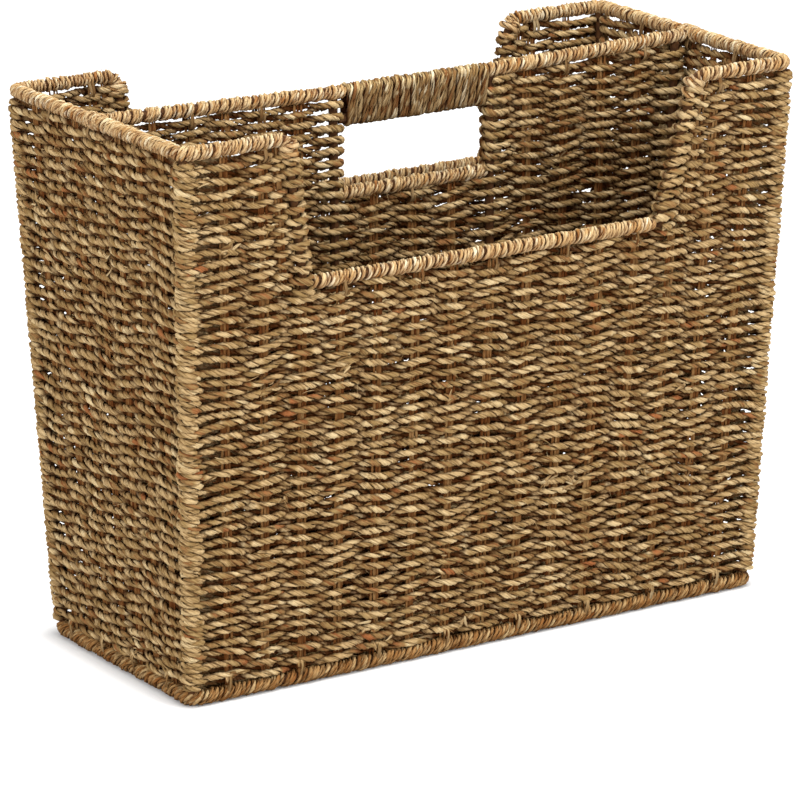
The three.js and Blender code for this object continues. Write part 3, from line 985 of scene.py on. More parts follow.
@dataclass
class WallWeave(Weave):
    """The rows that run round the four walls, and the stakes that they are woven round.

    Stakes and corner posts are numbered round the basket from the front left post. Every row passes outside
    the corner posts, and outside every second stake. The rows under the low rim go all the way round, and
    above it one cord an end goes back and forth between the two legs.

    Attributes:
        columns: How many columns of weave a long and a short wall have.
        leg_column: The column of a long wall whose stake, above the low rim, stands close beside a leg.
        first_row: The height of the lowest row.
        ring_rows: How many rows go all the way round.
        ear_rows: How many rows the ears have above them.
        rim_clearance: From the highest row to the rim.
        low_rim_clearance: From the highest row that goes all round to the low rim.
        bands: How many pieces the rows that go all round are shared among.
        seed: The seed of its chance.
    """

    columns: tuple[int, int] = (16, 8)
    leg_column: int = 13
    first_row: float = 11.8
    ring_rows: int = 66
    ear_rows: int = 25
    rim_clearance: float = 6.7
    low_rim_clearance: float = 6.7
    bands: int = 7
    seed: int = 11

    NODES = ("woven_wall_front", "woven_wall_back", "woven_wall_left", "woven_wall_right")
    POST_SHARES = (0.24, 0.5, 0.3, 0.6, 0.34, 0.45, 0.28)
    SQUEEZED = -0.7

    def __post_init__(self) -> None:
        """Sets out the four walls and numbers their stakes."""
        x, y, z = np.eye(3)
        deep, far = self.sizes.half_depth, self.sizes.half_length
        self.panels = [Panel(x, -y, z, deep), Panel(y, x, z, far), Panel(-x, y, z, deep), Panel(-y, -x, z, far)]
        long_count, short_count = self.columns
        self.firsts = [0, long_count, long_count + short_count, 2 * long_count + short_count]
        self.count = 2 * (long_count + short_count)
        longs, column = (self.firsts[0], self.firsts[2]), self.leg_column
        self.beside_legs = {first + side for first in longs for side in (long_count - column, column)}
        self.legs = {first + side for first in longs for side in (long_count - column + 1, column - 1)}

    def station(self, number: int, height: float, end: Optional[End] = None) -> tuple[Array, list[Array], int]:
        """Where a stake, post or leg stands at a height.

        Args:
            number: Its number, counted on past the last one.
            height: The height.
            end: The end whose legs stand in for two stakes, above the low rim.

        Returns:
            Its middle, the ways that a cord passes outside it, and the number of its wall.
        """
        number %= self.count
        wall = sum(first <= number for first in self.firsts) - 1
        panel, before = self.panels[wall], self.panels[wall - 1]
        half = float((self.sizes.half_length, self.sizes.half_depth)[wall % 2](height))
        column = number - self.firsts[wall]
        if column == 0:
            inset = self.sizes.post_inset
            spot = panel.at(inset - half, -inset, height)
            return spot, [before.out, unit(before.out + panel.out), panel.out], wall
        along = half * (2 * column / self.columns[wall % 2] - 1)
        if end is not None and number in self.legs | self.beside_legs:
            leg = float(self.sizes.leg(end, height))
            next_stake = half * (2 * (self.leg_column + 1) / self.columns[0] - 1)
            along = math.copysign(leg if number in self.legs else (leg + next_stake) / 2, along)
        return panel.at(along, 0.0, height), [panel.out], wall

    def row(self, row: int, height: float, end: Optional[End] = None) -> Array:
        """The points of a row, all the way round or from leg to leg round one end.

        Args:
            row: The row's number.
            height: The row's height.
            end: The end, above the low rim.

        Returns:
            The points. A row that goes all the way round doesn't repeat its first point.
        """
        numbers = range(self.count)
        if end is not None:
            first = self.leg_column - 1 + (self.firsts[2] if end is End.LEFT else 0)
            numbers = range(first, first + self.columns[1] + 2 * (self.columns[0] - self.leg_column + 1) + 1)
        stops = []
        for number in numbers:
            spot, ways, _ = self.station(number, height, end)
            at_leg = float(end is not None and number % self.count in self.legs)
            turned = self.SQUEEZED if len(ways) > 1 else at_leg
            reach = self.weaver.wire_reach if turned else self.weaver.sway
            if len(ways) == 1 and self.weaver.passing(row, number) < 0:
                ways = [-ways[0]]
            stops.append([(np.append(spot, turned), np.append(reach * way, 0.0)) for way in ways])
        laid = []
        for before, stop in zip([stops[-1], *stops], stops):
            if len(before) > 1:
                laid.append(self.beside_post(row, before[-1], stop[0]))
            if len(stop) > 1:
                laid.append(self.beside_post(row, stop[0], before[-1]))
            laid += stop
        if end is None:
            laid.append(laid[0])
        points = woven_line(*(np.array(rows) for rows in zip(*laid)))
        return points[:-1] if end is None else points

    def beside_post(self, row: int, post: tuple[Array, Array],
                    stake: tuple[Array, Array]) -> tuple[Array, Array]:
        """Where a row beside a corner post has already taken the side that it keeps at the next stake.

        Args:
            row: The row's number.
            post: The post, and from it to the row.
            stake: The stake, and from it to the row.

        Returns:
            The spot between them, and from it to the row.
        """
        spot = post[0] + self.POST_SHARES[row % len(self.POST_SHARES)] * (stake[0] - post[0])
        return np.append(spot[:3], 0.0), stake[1]

    def heights(self) -> tuple[Array, Array]:
        """The heights of the rows that go all round, and of the ears' rows above them."""
        middle = self.sizes.low_rim_height - self.low_rim_clearance
        top = self.sizes.rim_height - self.rim_clearance
        return (np.linspace(self.first_row, middle, self.ring_rows),
                np.linspace(middle, top, self.ear_rows + 1)[1:])

    def exposure(self, points: Array) -> Array:
        """How open to the light points of the walls lie, by how far out or in they stand."""
        long_gap = np.abs(points[..., 0]) - self.sizes.half_length(points[..., 2])
        deep_gap = np.abs(points[..., 1]) - self.sizes.half_depth(points[..., 2])
        return shade_by_depth(np.maximum(long_gap, deep_gap))

    def is_cut(self, number: int) -> bool:
        """Whether a stake ends at the low rim."""
        wall = sum(first <= number for first in self.firsts) - 1
        column = number - self.firsts[wall]
        return wall % 2 == 0 and self.columns[0] - self.leg_column <= column <= self.leg_column

    def stakes(self) -> list[int]:
        """The numbers of the stakes, without the corner posts."""
        return [number for number in range(self.count) if number not in self.firsts]

    def build(self) -> None:
        """Makes the cords of the walls in bands, the cords of the ears, and the stakes."""
        rng = np.random.default_rng(self.seed)
        rings, ears = self.heights()
        for band, numbers in enumerate(np.array_split(np.arange(self.ring_rows), self.bands)):
            mesh = StrandMesh(f"wall_cords_{band + 1}", self.weaver.sides)
            for number in numbers:
                row = self.row(int(number), float(rings[number]))
                line = self.weaver.laid(row, rng, UP, (rings[0], ears[-1]), closed=True)
                mesh.add(self.weaver.cord.tubes(line, rng), self.exposure)
            self.cord_dress.put_on(mesh, self.NODES)
        for end in End:
            rows = [self.row(self.ring_rows + index, float(height), end) for index, height in enumerate(ears)]
            past = np.array([-end.value * self.weaver.wire_reach, 0.0, 0.0, 0.0])
            line = self.weaver.laid(back_and_forth(rows, (past, past)), rng, UP, (rings[0], ears[-1]))
            mesh = StrandMesh(f"ear_cord_{end.name.lower()}", self.weaver.sides)
            mesh.add(self.weaver.cord.tubes(line, rng), self.exposure)
            self.cord_dress.put_on(mesh, self.NODES)
        stakes = StrandMesh("wall_stakes")
        low = self.sizes.base_height + self.sizes.wire_radius
        for number in self.stakes():
            rim = self.sizes.low_rim_height if self.is_cut(number) else self.sizes.rim_height
            ends = np.array([self.station(number, z)[0] for z in (low, rim - self.sizes.wire_radius)])
            panel = self.panels[self.station(number, low)[2]]
            stakes.add(self.stake.tubes(ends, panel.travel, panel.out, rng))
        heights = (self.sizes.low_rim_height, self.sizes.rim_height - self.sizes.wire_radius)
        for number in sorted(self.beside_legs):
            end = End.RIGHT if self.leg_column <= number <= self.count // 2 + self.leg_column - 1 else End.LEFT
            ends = np.array([self.station(number, z, end)[0] for z in heights])
            panel = self.panels[self.station(number, low)[2]]
            stakes.add(self.stake.tubes(ends, panel.travel, panel.out, rng))
        self.stake_dress.put_on(stakes, self.NODES)


@dataclass
class FlatWeave(Weave):
    """A flat panel that cords fill, back and forth between two wires or edges."""

    def places(self, place: float) -> Array:
        """Where along a row everything stands that it is woven round, at a place in the stack."""
        raise NotImplementedError

    def exposure(self, points: Array) -> Array:
        """How open to the light points of the panel lie."""
        raise NotImplementedError

    def settled(self, points: Array) -> Array:
        """Where points that were set out evenly come to lie."""
        return points

    def fill(self, name: str, panel: Panel, rows: Array, first_row: int, reaches: Array, first: int,
             past: float, edges: tuple[float, float], rng: np.random.Generator) -> StrandMesh:
        """Fills rows with one cord that goes back and forth.

        Args:
            name: The piece's name.
            panel: The panel.
            rows: The place of each row in the stack.
            first_row: The number of the first row.
            reaches: How far out the cord passes each thing that stands in the rows.
            first: The number of the first of these things.
            past: How far a turn goes past the first and the last of them.
            edges: The places of the panel's first and last row.
            rng: The source of chance.

        Returns:
            The piece's tubes.
        """
        count = len(reaches)
        laid = []
        for index, place in enumerate(rows):
            passing = [self.weaver.passing(first_row + index, first + number) for number in range(count)]
            along = self.places(float(place))[first:first + count]
            at_edge = np.isin(np.arange(count), (0, count - 1)).astype(float)
            spots = self.settled(panel.at(along, np.zeros(count), np.full(count, place)))
            middles = np.column_stack([spots, at_edge])
            offsets = np.column_stack([np.outer(passing * reaches, panel.out), np.zeros(count)])
            laid.append(woven_line(middles, offsets))
        turn = np.append(past * panel.travel, 0.0)
        line = self.weaver.laid(back_and_forth(laid, (-turn, turn)), rng, panel.stack, edges)
        mesh = StrandMesh(name, self.weaver.sides)
        mesh.add(self.weaver.cord.tubes(line, rng), self.exposure)
        return mesh


@dataclass
class DividerWeave(FlatWeave):
    """The rows of the divider, under and beside the hand opening, and its stakes.

    Attributes:
        columns: How many columns of weave lie left of the opening, under it and right of it.
        first_row: The height of the lowest row.
        lower_rows: How many rows run from end to end.
        upper_rows: How many rows lie beside the opening above them.
        sill_clearance: From the highest row under the opening to the sill.
        rim_clearance: From the highest row to the rim.
        upright_reach: From the middle of an upright to the cord where a row runs past it.
        seed: The seed of its chance.
    """

    columns: tuple[int, int, int] = (6, 4, 5)
    first_row: float = 11.8
    lower_rows: int = 69
    upper_rows: int = 18
    sill_clearance: float = 6.7
    rim_clearance: float = 6.7
    upright_reach: float = 3.1
    seed: int = 23

    NODE = "woven_divider"

    def __post_init__(self) -> None:
        """Sets out the divider and numbers its stakes and wires."""
        x, y, z = np.eye(3)
        self.panel = Panel(x, -y, z, np.zeros_like)
        self.wires = [0, *np.cumsum(self.columns).tolist()]

    def places(self, place: float) -> Array:
        """Where along a row the posts, stakes and uprights stand, at a height."""
        post = float(self.sizes.divider_post(place))
        stops = (-post, *self.sizes.uprights, post)
        spans = [np.linspace(start, end, count + 1)[:-1] for start, end, count in
                 zip(stops, stops[1:], self.columns)]
        return np.concatenate([*spans, [post]])

    def exposure(self, points: Array) -> Array:
        """How open to the light points of the divider lie."""
        return shade_by_depth(points[..., 1])

    def settled(self, points: Array) -> Array:
        """Where points of the divider come to lie, as its rows above the sill follow the rim's dip."""
        sizes = self.sizes
        share = np.clip((points[..., 2] - sizes.sill_height) / (sizes.rim_height - sizes.sill_height), 0, 1)
        return points - (share * (sizes.rim_height - sizes.divider_rim(points[..., 0])))[..., None] * UP

    def heights(self) -> tuple[Array, Array]:
        """The heights of the rows under the opening and of the rows beside it."""
        middle = self.sizes.sill_height - self.sill_clearance
        top = self.sizes.rim_height - self.rim_clearance
        return (np.linspace(self.first_row, middle, self.lower_rows),
                np.linspace(middle, top, self.upper_rows + 1)[1:])

    def stakes(self) -> list[int]:
        """The numbers of the stakes, without the posts and uprights."""
        return [number for number in range(self.wires[3]) if number not in self.wires]

    def is_cut(self, number: int) -> bool:
        """Whether a stake ends at the sill."""
        return self.wires[1] < number < self.wires[2]

    def build(self) -> None:
        """Makes the divider's cords and stakes."""
        rng = np.random.default_rng(self.seed)
        lower, upper = self.heights()
        start, left, right, last = self.wires
        third = self.lower_rows // 6 * 2
        blocks = (
            ("divider_cord_lower", lower[:third], 0, start, last),
            ("divider_cord_middle", lower[third:2 * third], third, start, last),
            ("divider_cord_under_sill", lower[2 * third:], 2 * third, start, last),
            ("divider_cord_upper_left", upper, self.lower_rows, start, left),
            ("divider_cord_upper_right", upper, self.lower_rows, right, last),
        )
        for name, rows, first_row, first, final in blocks:
            reaches = np.full(final - first + 1, self.weaver.sway)
            for wire in (left, right):
                if first < wire < final:
                    reaches[wire - first] = self.upright_reach
            reaches[[0, -1]] = self.weaver.wire_reach
            mesh = self.fill(name, self.panel, rows, first_row, reaches, first, self.weaver.wire_reach,
                             (lower[0], upper[-1]), rng)
            self.cord_dress.put_on(mesh, (self.NODE,))
        stakes = StrandMesh("divider_stakes")
        low = self.sizes.base_height + self.sizes.wire_radius
        for number in self.stakes():
            rim = self.sizes.sill_height if self.is_cut(number) else self.sizes.rim_height
            heights = np.array([low, rim - self.sizes.wire_radius])
            along = np.array([self.places(height)[number] for height in heights])
            ends = self.settled(self.panel.at(along, np.zeros(2), heights))
            stakes.add(self.stake.tubes(ends, self.panel.travel, self.panel.out, rng))
        self.stake_dress.put_on(stakes, (self.NODE,))


@dataclass
class BaseWeave(FlatWeave):
    """The rows of the base on both sides of the divider, and its stakes.

    Attributes:
        columns: How many stakes cross the base.
        rows: How many rows lie on each side of the divider.
        ring_clearance: From the base ring's middle to the outermost row.
        divider_clearance: From the divider's middle to the innermost row.
        seed: The seed of its chance.
    """

    columns: int = 14
    rows: int = 18
    ring_clearance: float = 7.0
    divider_clearance: float = 5.0
    seed: int = 31

    NODE = "woven_base"

    def places(self, place: float) -> Array:
        """Where along a row its two ends and the stakes between them lie."""
        reach = self.sizes.base_half_length - self.ring_clearance
        half_column = reach / self.columns
        return np.concatenate([[-reach], np.linspace(half_column - reach, reach - half_column, self.columns),
                               [reach]])

    def exposure(self, points: Array) -> Array:
        """How open to the light points of the base lie."""
        return shade_by_depth(points[..., 2] - self.sizes.base_height)

    def build(self) -> None:
        """Makes the base's cords and stakes."""
        rng = np.random.default_rng(self.seed)
        x, y, z = np.eye(3)
        panel = Panel(x, z, y, lambda place: np.full_like(place, self.sizes.base_height))
        outer = self.sizes.base_half_depth - self.ring_clearance
        pitch = (outer - self.divider_clearance) / (self.rows - 1)
        stakes = StrandMesh("base_stakes")
        for face in Face:
            rows = np.linspace(outer, self.divider_clearance, self.rows) * face.value
            reaches = np.full(self.columns + 2, self.weaver.sway)
            mesh = self.fill(f"base_cord_{face.name.lower()}", panel, rows, 0, reaches, 0, pitch / 2,
                             (rows[0], rows[-1]), rng)
            self.cord_dress.put_on(mesh, (self.NODE,))
            across = np.array([self.divider_clearance, outer + self.ring_clearance]) * face.value
            for place in self.places(0.0)[1:-1]:
                ends = panel.at(np.full(2, place), np.zeros(2), across)
                stakes.add(self.stake.tubes(ends, panel.travel, panel.out, rng))
        self.stake_dress.put_on(stakes, (self.NODE,))


# What is wound over the wires


@dataclass(frozen=True)
class Wrapping:
    """A strand wound tightly round one wire.

    Attributes:
        strand: The strand.
        outside: The radius over the winding.
        pitch: From one turn to the next.
        unevenness: The share of the pitch by which a turn strays along the wire.
        looseness: How far a turn lifts off the wire.
        lean: How far the front of a turn leans along the wire.
        step: How far apart the strand's sections are.
        tip: The length over which the winding rounds off at its ends.
    """

    strand: Strand | Cord
    outside: float
    pitch: float
    unevenness: float = 0.45
    looseness: float = 0.3
    lean: float = 1.1
    step: float = 1.5
    tip: float = 0.0

    TIP_SHARE = 0.06

    def add_to(self, mesh: StrandMesh, core: Array, rng: np.random.Generator) -> None:
        """Winds the strand round a wire.

        Args:
            mesh: The piece that the strand belongs to.
            core: The wire's middle line.
            rng: The source of chance.
        """
        along = distance_along(core)
        _, side, rise = Line.level(core).axes()
        hops = [np.diff(distance_along(core + way * self.outside * side)) for way in (-1, 1)]
        outer = np.concatenate([[0.0], np.cumsum(np.maximum(*hops))])
        radius = self.outside - self.strand.reach
        turns = outer[-1] / self.pitch
        turned = np.linspace(0, turns, round(turns * 2 * math.pi * radius / self.step))
        angle = 2 * math.pi * turned
        stray = drift(rng, turned, 1.0, self.unevenness) * self.pitch
        place = np.interp(turned * self.pitch + stray, outer, along) + self.lean * np.sin(angle)
        place = np.clip(place, 0, along[-1])
        middle, side, rise = (read_at(place, along, rows) for rows in (core, side, rise))
        away = unit(np.cos(angle)[:, None] * side + np.sin(angle)[:, None] * rise)
        fall = np.ones_like(place)
        if self.tip > 0:
            share = 1 - np.minimum(place, along[-1] - place) / self.tip
            fall = np.sqrt(np.clip(1 - np.clip(share, 0, 1) ** 2, self.TIP_SHARE, 1))
        lift = fall * (radius + drift(rng, turned, 0.7, self.looseness))
        line = Line(middle + lift[:, None] * away, away)
        reach = self.strand.reach
        inner = (fall * radius - reach)[:, None]
        mesh.add(self.strand.tubes(line, rng), partial(shade_round, middles=middle, inner=inner, depth=2 * reach))


@dataclass(frozen=True)
class Lashing:
    """A strand wound round two bars at once, one above the other.

    Attributes:
        strand: The strand.
        reaches: From the middles of the upper and the lower bar to the middle of the strand.
        lean: The least and the most that a turn leans along the bars on its way up.
        looseness: How far a turn lifts off the bars.
        cover: How deep it lies under the layer outside it.
        step: How far apart the strand's sections are.
        arc_steps: How many points a turn has round each bar.
    """

    strand: Strand | Cord
    reaches: tuple[float, float]
    lean: tuple[float, float]
    looseness: float = 0.3
    cover: float = 0.0
    step: float = 1.4
    arc_steps: int = 5

    # How much darker the painted shade makes the winding below the upper bar than on top.
    UNDERSIDE_SHADE = 0.55

    def add_to(self, mesh: StrandMesh, upper: Array, lower: Array, out: Array, starts: Array,
               rng: np.random.Generator, edges: tuple[float, float] = (-math.inf, math.inf)) -> None:
        """Winds the strand round the bars.

        Args:
            mesh: The piece that the strand belongs to.
            upper: The middle of the upper bar.
            lower: The middle of the lower bar.
            out: The way that the bars face.
            starts: How far along the bars each turn starts.
            rng: The source of chance.
            edges: How far along the bars the winding may begin and end.
        """
        travel = np.cross(UP, out)
        arc = np.linspace(0, math.pi, self.arc_steps)
        angles = np.concatenate([arc, arc + math.pi])
        away = np.outer(np.cos(angles), out) + np.outer(np.sin(angles), UP)
        middles = np.repeat([upper, lower], self.arc_steps, axis=0)
        reaches = np.repeat(self.reaches, self.arc_steps)[:, None]
        pitch = starts[1] - starts[0]
        creep = pitch * np.arange(len(angles)) / len(angles)
        controls = []
        for start in starts:
            front, back = rng.uniform(*self.lean, 2) / 2
            leans = np.concatenate([np.linspace(front, back, self.arc_steps),
                                    np.linspace(-back, -front, self.arc_steps)])
            place = np.clip(start + creep + leans, *edges)
            lift = rng.uniform(0, self.looseness, len(away))[:, None]
            controls.append(middles + (reaches + lift) * away + place[:, None] * travel)
        facings = np.tile(away, (len(starts), 1))
        line = Line.through(np.vstack(controls), facings, self.step)
        mesh.add(self.strand.tubes(line, rng), partial(self.exposure, upper=upper, lower=lower, travel=travel))

    def exposure(self, points: Array, upper: Array, lower: Array, travel: Array) -> Array:
        """How open to the light points of the winding are, with a painted shade that darkens its underside.

        Args:
            points: The points.
            upper: The middle of the upper bar.
            lower: The middle of the lower bar.
            travel: The way that the bars run.

        Returns:
            The exposure, from 0 to 1.
        """
        span = lower - upper
        share = np.clip((points - upper) @ span / (span @ span), 0, 1)[..., None]
        gap = points - upper - share * span
        gap = gap - (gap @ travel)[..., None] * travel
        depth = self.strand.reach
        reach = self.cover + self.reaches[0] * (1 - share[..., 0]) + self.reaches[1] * share[..., 0]
        # Painted shade: darker in the creases between turns and under the outer layer, and darker below the upper
        # bar than on top.
        below = np.clip((upper[2] + self.reaches[0] - points[..., 2]) / (2 * self.reaches[0]), 0, 1)
        open_share = smoothstep((np.linalg.norm(gap, axis=-1) - reach + 0.4 * depth) / (1.3 * depth))
        return open_share * (1 - self.UNDERSIDE_SHADE * below)


@dataclass
class Rims:
    """The windings on the rims, the sill and the base ring, and the knots where the divider meets the ends.

    Attributes:
        sizes: The basket's sizes.
        rim: The winding of every rim and of the sill.
        base: The winding of the base ring.
        whipping: The winding at the top of every leg of the cut-away.
        rim_dress: The finish of the rims.
        base_dress: The finish of the base ring.
        core_step: How far apart the points of a wire's line are.
        leg_cover: How far down a leg an end rim's winding goes on.
        whipping_length: How far down it reaches from the rim.
        knot_half_length: Half the length of the knot where the divider's rim meets an end rim.
        knot_lift: How far a knot stands out over the rim's winding.
        seed: The seed of its chance.
    """

    sizes: BasketSizes
    rim: Wrapping
    base: Wrapping
    whipping: Wrapping
    rim_dress: Dress
    base_dress: Dress
    core_step: float = 1.0
    leg_cover: float = 8.0
    whipping_length: float = 11.0
    knot_half_length: float = 8.5
    knot_lift: float = 0.9
    seed: int = 47

    def end_rim(self, end: End) -> Array:
        """The wire's line under one end rim's winding, from the top of one leg along both ears to the other."""
        sizes, way = self.sizes, -end.value
        x, y, z = end.value * sizes.rim_half_length, sizes.rim_half_depth, sizes.rim_height
        low = z - self.leg_cover
        tip, foot = (end.value * float(sizes.leg(end, height)) for height in (z, low))
        inner = float(sizes.half_depth(low))
        corners = [(foot, way * inner, low), (tip, way * y, z), (x, way * y, z),
                   (x, -way * y, z), (tip, -way * y, z), (foot, -way * inner, low)]
        return bent_line([np.array(corner) for corner in corners], sizes.corner_bend, self.core_step)

    def lengthwise(self, node: str, y: float, height: Callable[[Array], Array]) -> Array:
        """The line of a lengthwise wire under its winding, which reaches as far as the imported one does."""
        low, high = node_box(node)
        x = np.linspace(low[0], high[0], round((high[0] - low[0]) / self.core_step))
        return np.column_stack([x, np.full_like(x, y), height(x)])

    def base_ring(self) -> Array:
        """The base ring's line, from the middle of the back round to it again."""
        x, y, z = self.sizes.base_half_length, self.sizes.base_half_depth, self.sizes.base_height
        corners = [(0, y, z), (-x, y, z), (-x, -y, z), (x, -y, z), (x, y, z), (0, y, z)]
        return bent_line([np.array(corner) for corner in corners], self.sizes.corner_bend, self.core_step)

    def cores(self) -> dict[str, Array]:
        """The line of every wire that has a rim's winding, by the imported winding's name."""
        sizes = self.sizes
        low_depth = float(sizes.half_depth(sizes.low_rim_height))
        low_rim = partial(np.full_like, fill_value=sizes.low_rim_height)
        sill = partial(np.full_like, fill_value=sizes.sill_height)
        lengthwise = {
            "low_rim_binding_front": (-low_depth, low_rim),
            "low_rim_binding_back": (low_depth, low_rim),
            "divider_rim_binding_left": (0.0, sizes.divider_rim),
            "divider_rim_binding_right": (0.0, sizes.divider_rim),
            "opening_sill_binding": (0.0, sill),
        }
        cores = {f"end_rim_binding_{end.name.lower()}": self.end_rim(end) for end in End}
        cores.update({node: self.lengthwise(node, *place) for node, place in lengthwise.items()})
        return cores

    def build(self) -> None:
        """Makes the windings and the two knots."""
        rng = np.random.default_rng(self.seed)
        for node, core in self.cores().items():
            mesh = StrandMesh(node.replace("_binding", "_winding"))
            self.rim.add_to(mesh, core, rng)
            self.rim_dress.put_on(mesh, (node,))
        mesh = StrandMesh("base_winding")
        self.base.add_to(mesh, self.base_ring(), rng)
        self.base_dress.put_on(mesh, ("base_binding",))
        knots = StrandMesh("divider_rim_knots")
        knot = replace(self.rim, outside=self.rim.outside + self.knot_lift, unevenness=1.2, tip=4.0, lean=2.4)
        for end in End:
            x, z = end.value * self.sizes.rim_half_length, self.sizes.rim_height
            ends = [np.array([x, way * self.knot_half_length, z]) for way in (-1, 1)]
            knot.add_to(knots, bent_line(ends, self.sizes.corner_bend, self.core_step), rng)
        self.rim_dress.put_on(knots)
        whippings = StrandMesh("leg_whippings")
        for end in End:
            for face in Face:
                heights = (self.sizes.rim_height - self.whipping_length,
                           self.sizes.rim_height - self.sizes.wire_radius)
                ends = [np.array([end.value * float(self.sizes.leg(end, z)),
                                  face.value * float(self.sizes.half_depth(z)), z]) for z in heights]
                self.whipping.add_to(whippings, bent_line(ends, self.sizes.corner_bend, self.core_step), rng)
        self.rim_dress.put_on(whippings)


@dataclass
class Ties:
    """The strands that tie the rims and the base ring to the nearest row at every second stake.

    Attributes:
        walls: The walls.
        divider: The divider.
        dress: The finish of the ties.
        strand: The strand of a tie.
        reaches: From the middle of a rim, and of the row that it is tied to, to the strand.
        base_reaches: The same from the lowest row and from the base ring.
        lean: The least and the most that a tie leans.
        pitch: From one turn of a tie to the next.
        turns: How many turns a tie has.
        scatter: How far a tie strays along the rim.
        seed: The seed of its chance.
    """

    walls: WallWeave
    divider: DividerWeave
    dress: Dress
    strand: Strand = Strand(1.9, 0.9, tints=BladeTints(common=(0.2, 0.7), stretch=(10.0, 30.0)))
    reaches: tuple[float, float] = (2.3, 4.2)
    base_reaches: tuple[float, float] = (4.2, 3.0)
    lean: tuple[float, float] = (-0.6, 1.2)
    pitch: float = 2.0
    turns: int = 2
    scatter: float = 2.5
    seed: int = 71

    def build(self) -> None:
        """Makes the ties on the rims and on the base ring."""
        rng = np.random.default_rng(self.seed)
        lashing = Lashing(self.strand, self.reaches, self.lean)
        low = Lashing(self.strand, self.base_reaches, self.lean)
        sizes, walls, divider = self.walls.sizes, self.walls, self.divider
        rims, bases = StrandMesh("rim_ties"), StrandMesh("base_ties")
        rings, ears = walls.heights()
        for number in walls.stakes():
            rim = sizes.low_rim_height if walls.is_cut(number) else sizes.rim_height
            row = rings[-1] if walls.is_cut(number) else ears[-1]
            panel = walls.panels[walls.station(number, rim)[2]]
            if number % 2 == 0:
                bars = [walls.station(number, height)[0] for height in (rim, float(row))]
                lashing.add_to(rims, *bars, panel.out, self._starts(rng), rng)
            else:
                bars = [walls.station(number, height)[0] for height in (walls.first_row, sizes.base_height)]
                low.add_to(bases, *bars, panel.out, self._starts(rng), rng)
        lower, upper = divider.heights()
        for number in divider.stakes():
            is_cut = divider.is_cut(number)
            rim, row = (sizes.sill_height, lower[-1]) if is_cut else (sizes.rim_height, upper[-1])
            if number % 2 == 0:
                bars = [divider.settled(divider.panel.at(divider.places(height)[number], 0.0, height))
                        for height in (rim, row)]
                lashing.add_to(rims, *bars, divider.panel.out, self._starts(rng), rng)
        self.dress.put_on(rims)
        self.dress.put_on(bases)

    def _starts(self, rng: np.random.Generator) -> Array:
        """Where the turns of one tie start along the rim."""
        return rng.uniform(-self.scatter, self.scatter) + self.pitch * (np.arange(self.turns) - self.turns / 2)


@dataclass
class Grip:
    """The two layers of winding round the rim wire and the grip's lower wire together.

    Attributes:
        sizes: The basket's sizes.
        layers: How each layer is wound, the inner one first.
        dress: Its finish.
        pitch: From one turn to the next.
        edge_inset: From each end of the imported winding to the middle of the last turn.
        seed: The seed of its chance.
    """

    sizes: BasketSizes
    layers: tuple[Lashing, ...]
    dress: Dress
    pitch: float = 2.5
    edge_inset: float = 0.4
    seed: int = 59

    def build(self) -> None:
        """Makes the grip's winding."""
        rng = np.random.default_rng(self.seed)
        low, high = node_box("grip_winding")
        edges = (low[0] + self.edge_inset, high[0] - self.edge_inset)
        starts = np.arange(edges[0] - self.pitch, edges[1], self.pitch)
        heights = (self.sizes.grip_rim_height, self.sizes.grip_wire_height)
        bars = [np.array([0.0, 0.0, height]) for height in heights]
        mesh = StrandMesh("grip_strands")
        for layer in self.layers:
            layer.add_to(mesh, *bars, np.array([0.0, -1.0, 0.0]), starts, rng, edges)
        self.dress.put_on(mesh, ("grip_winding",))


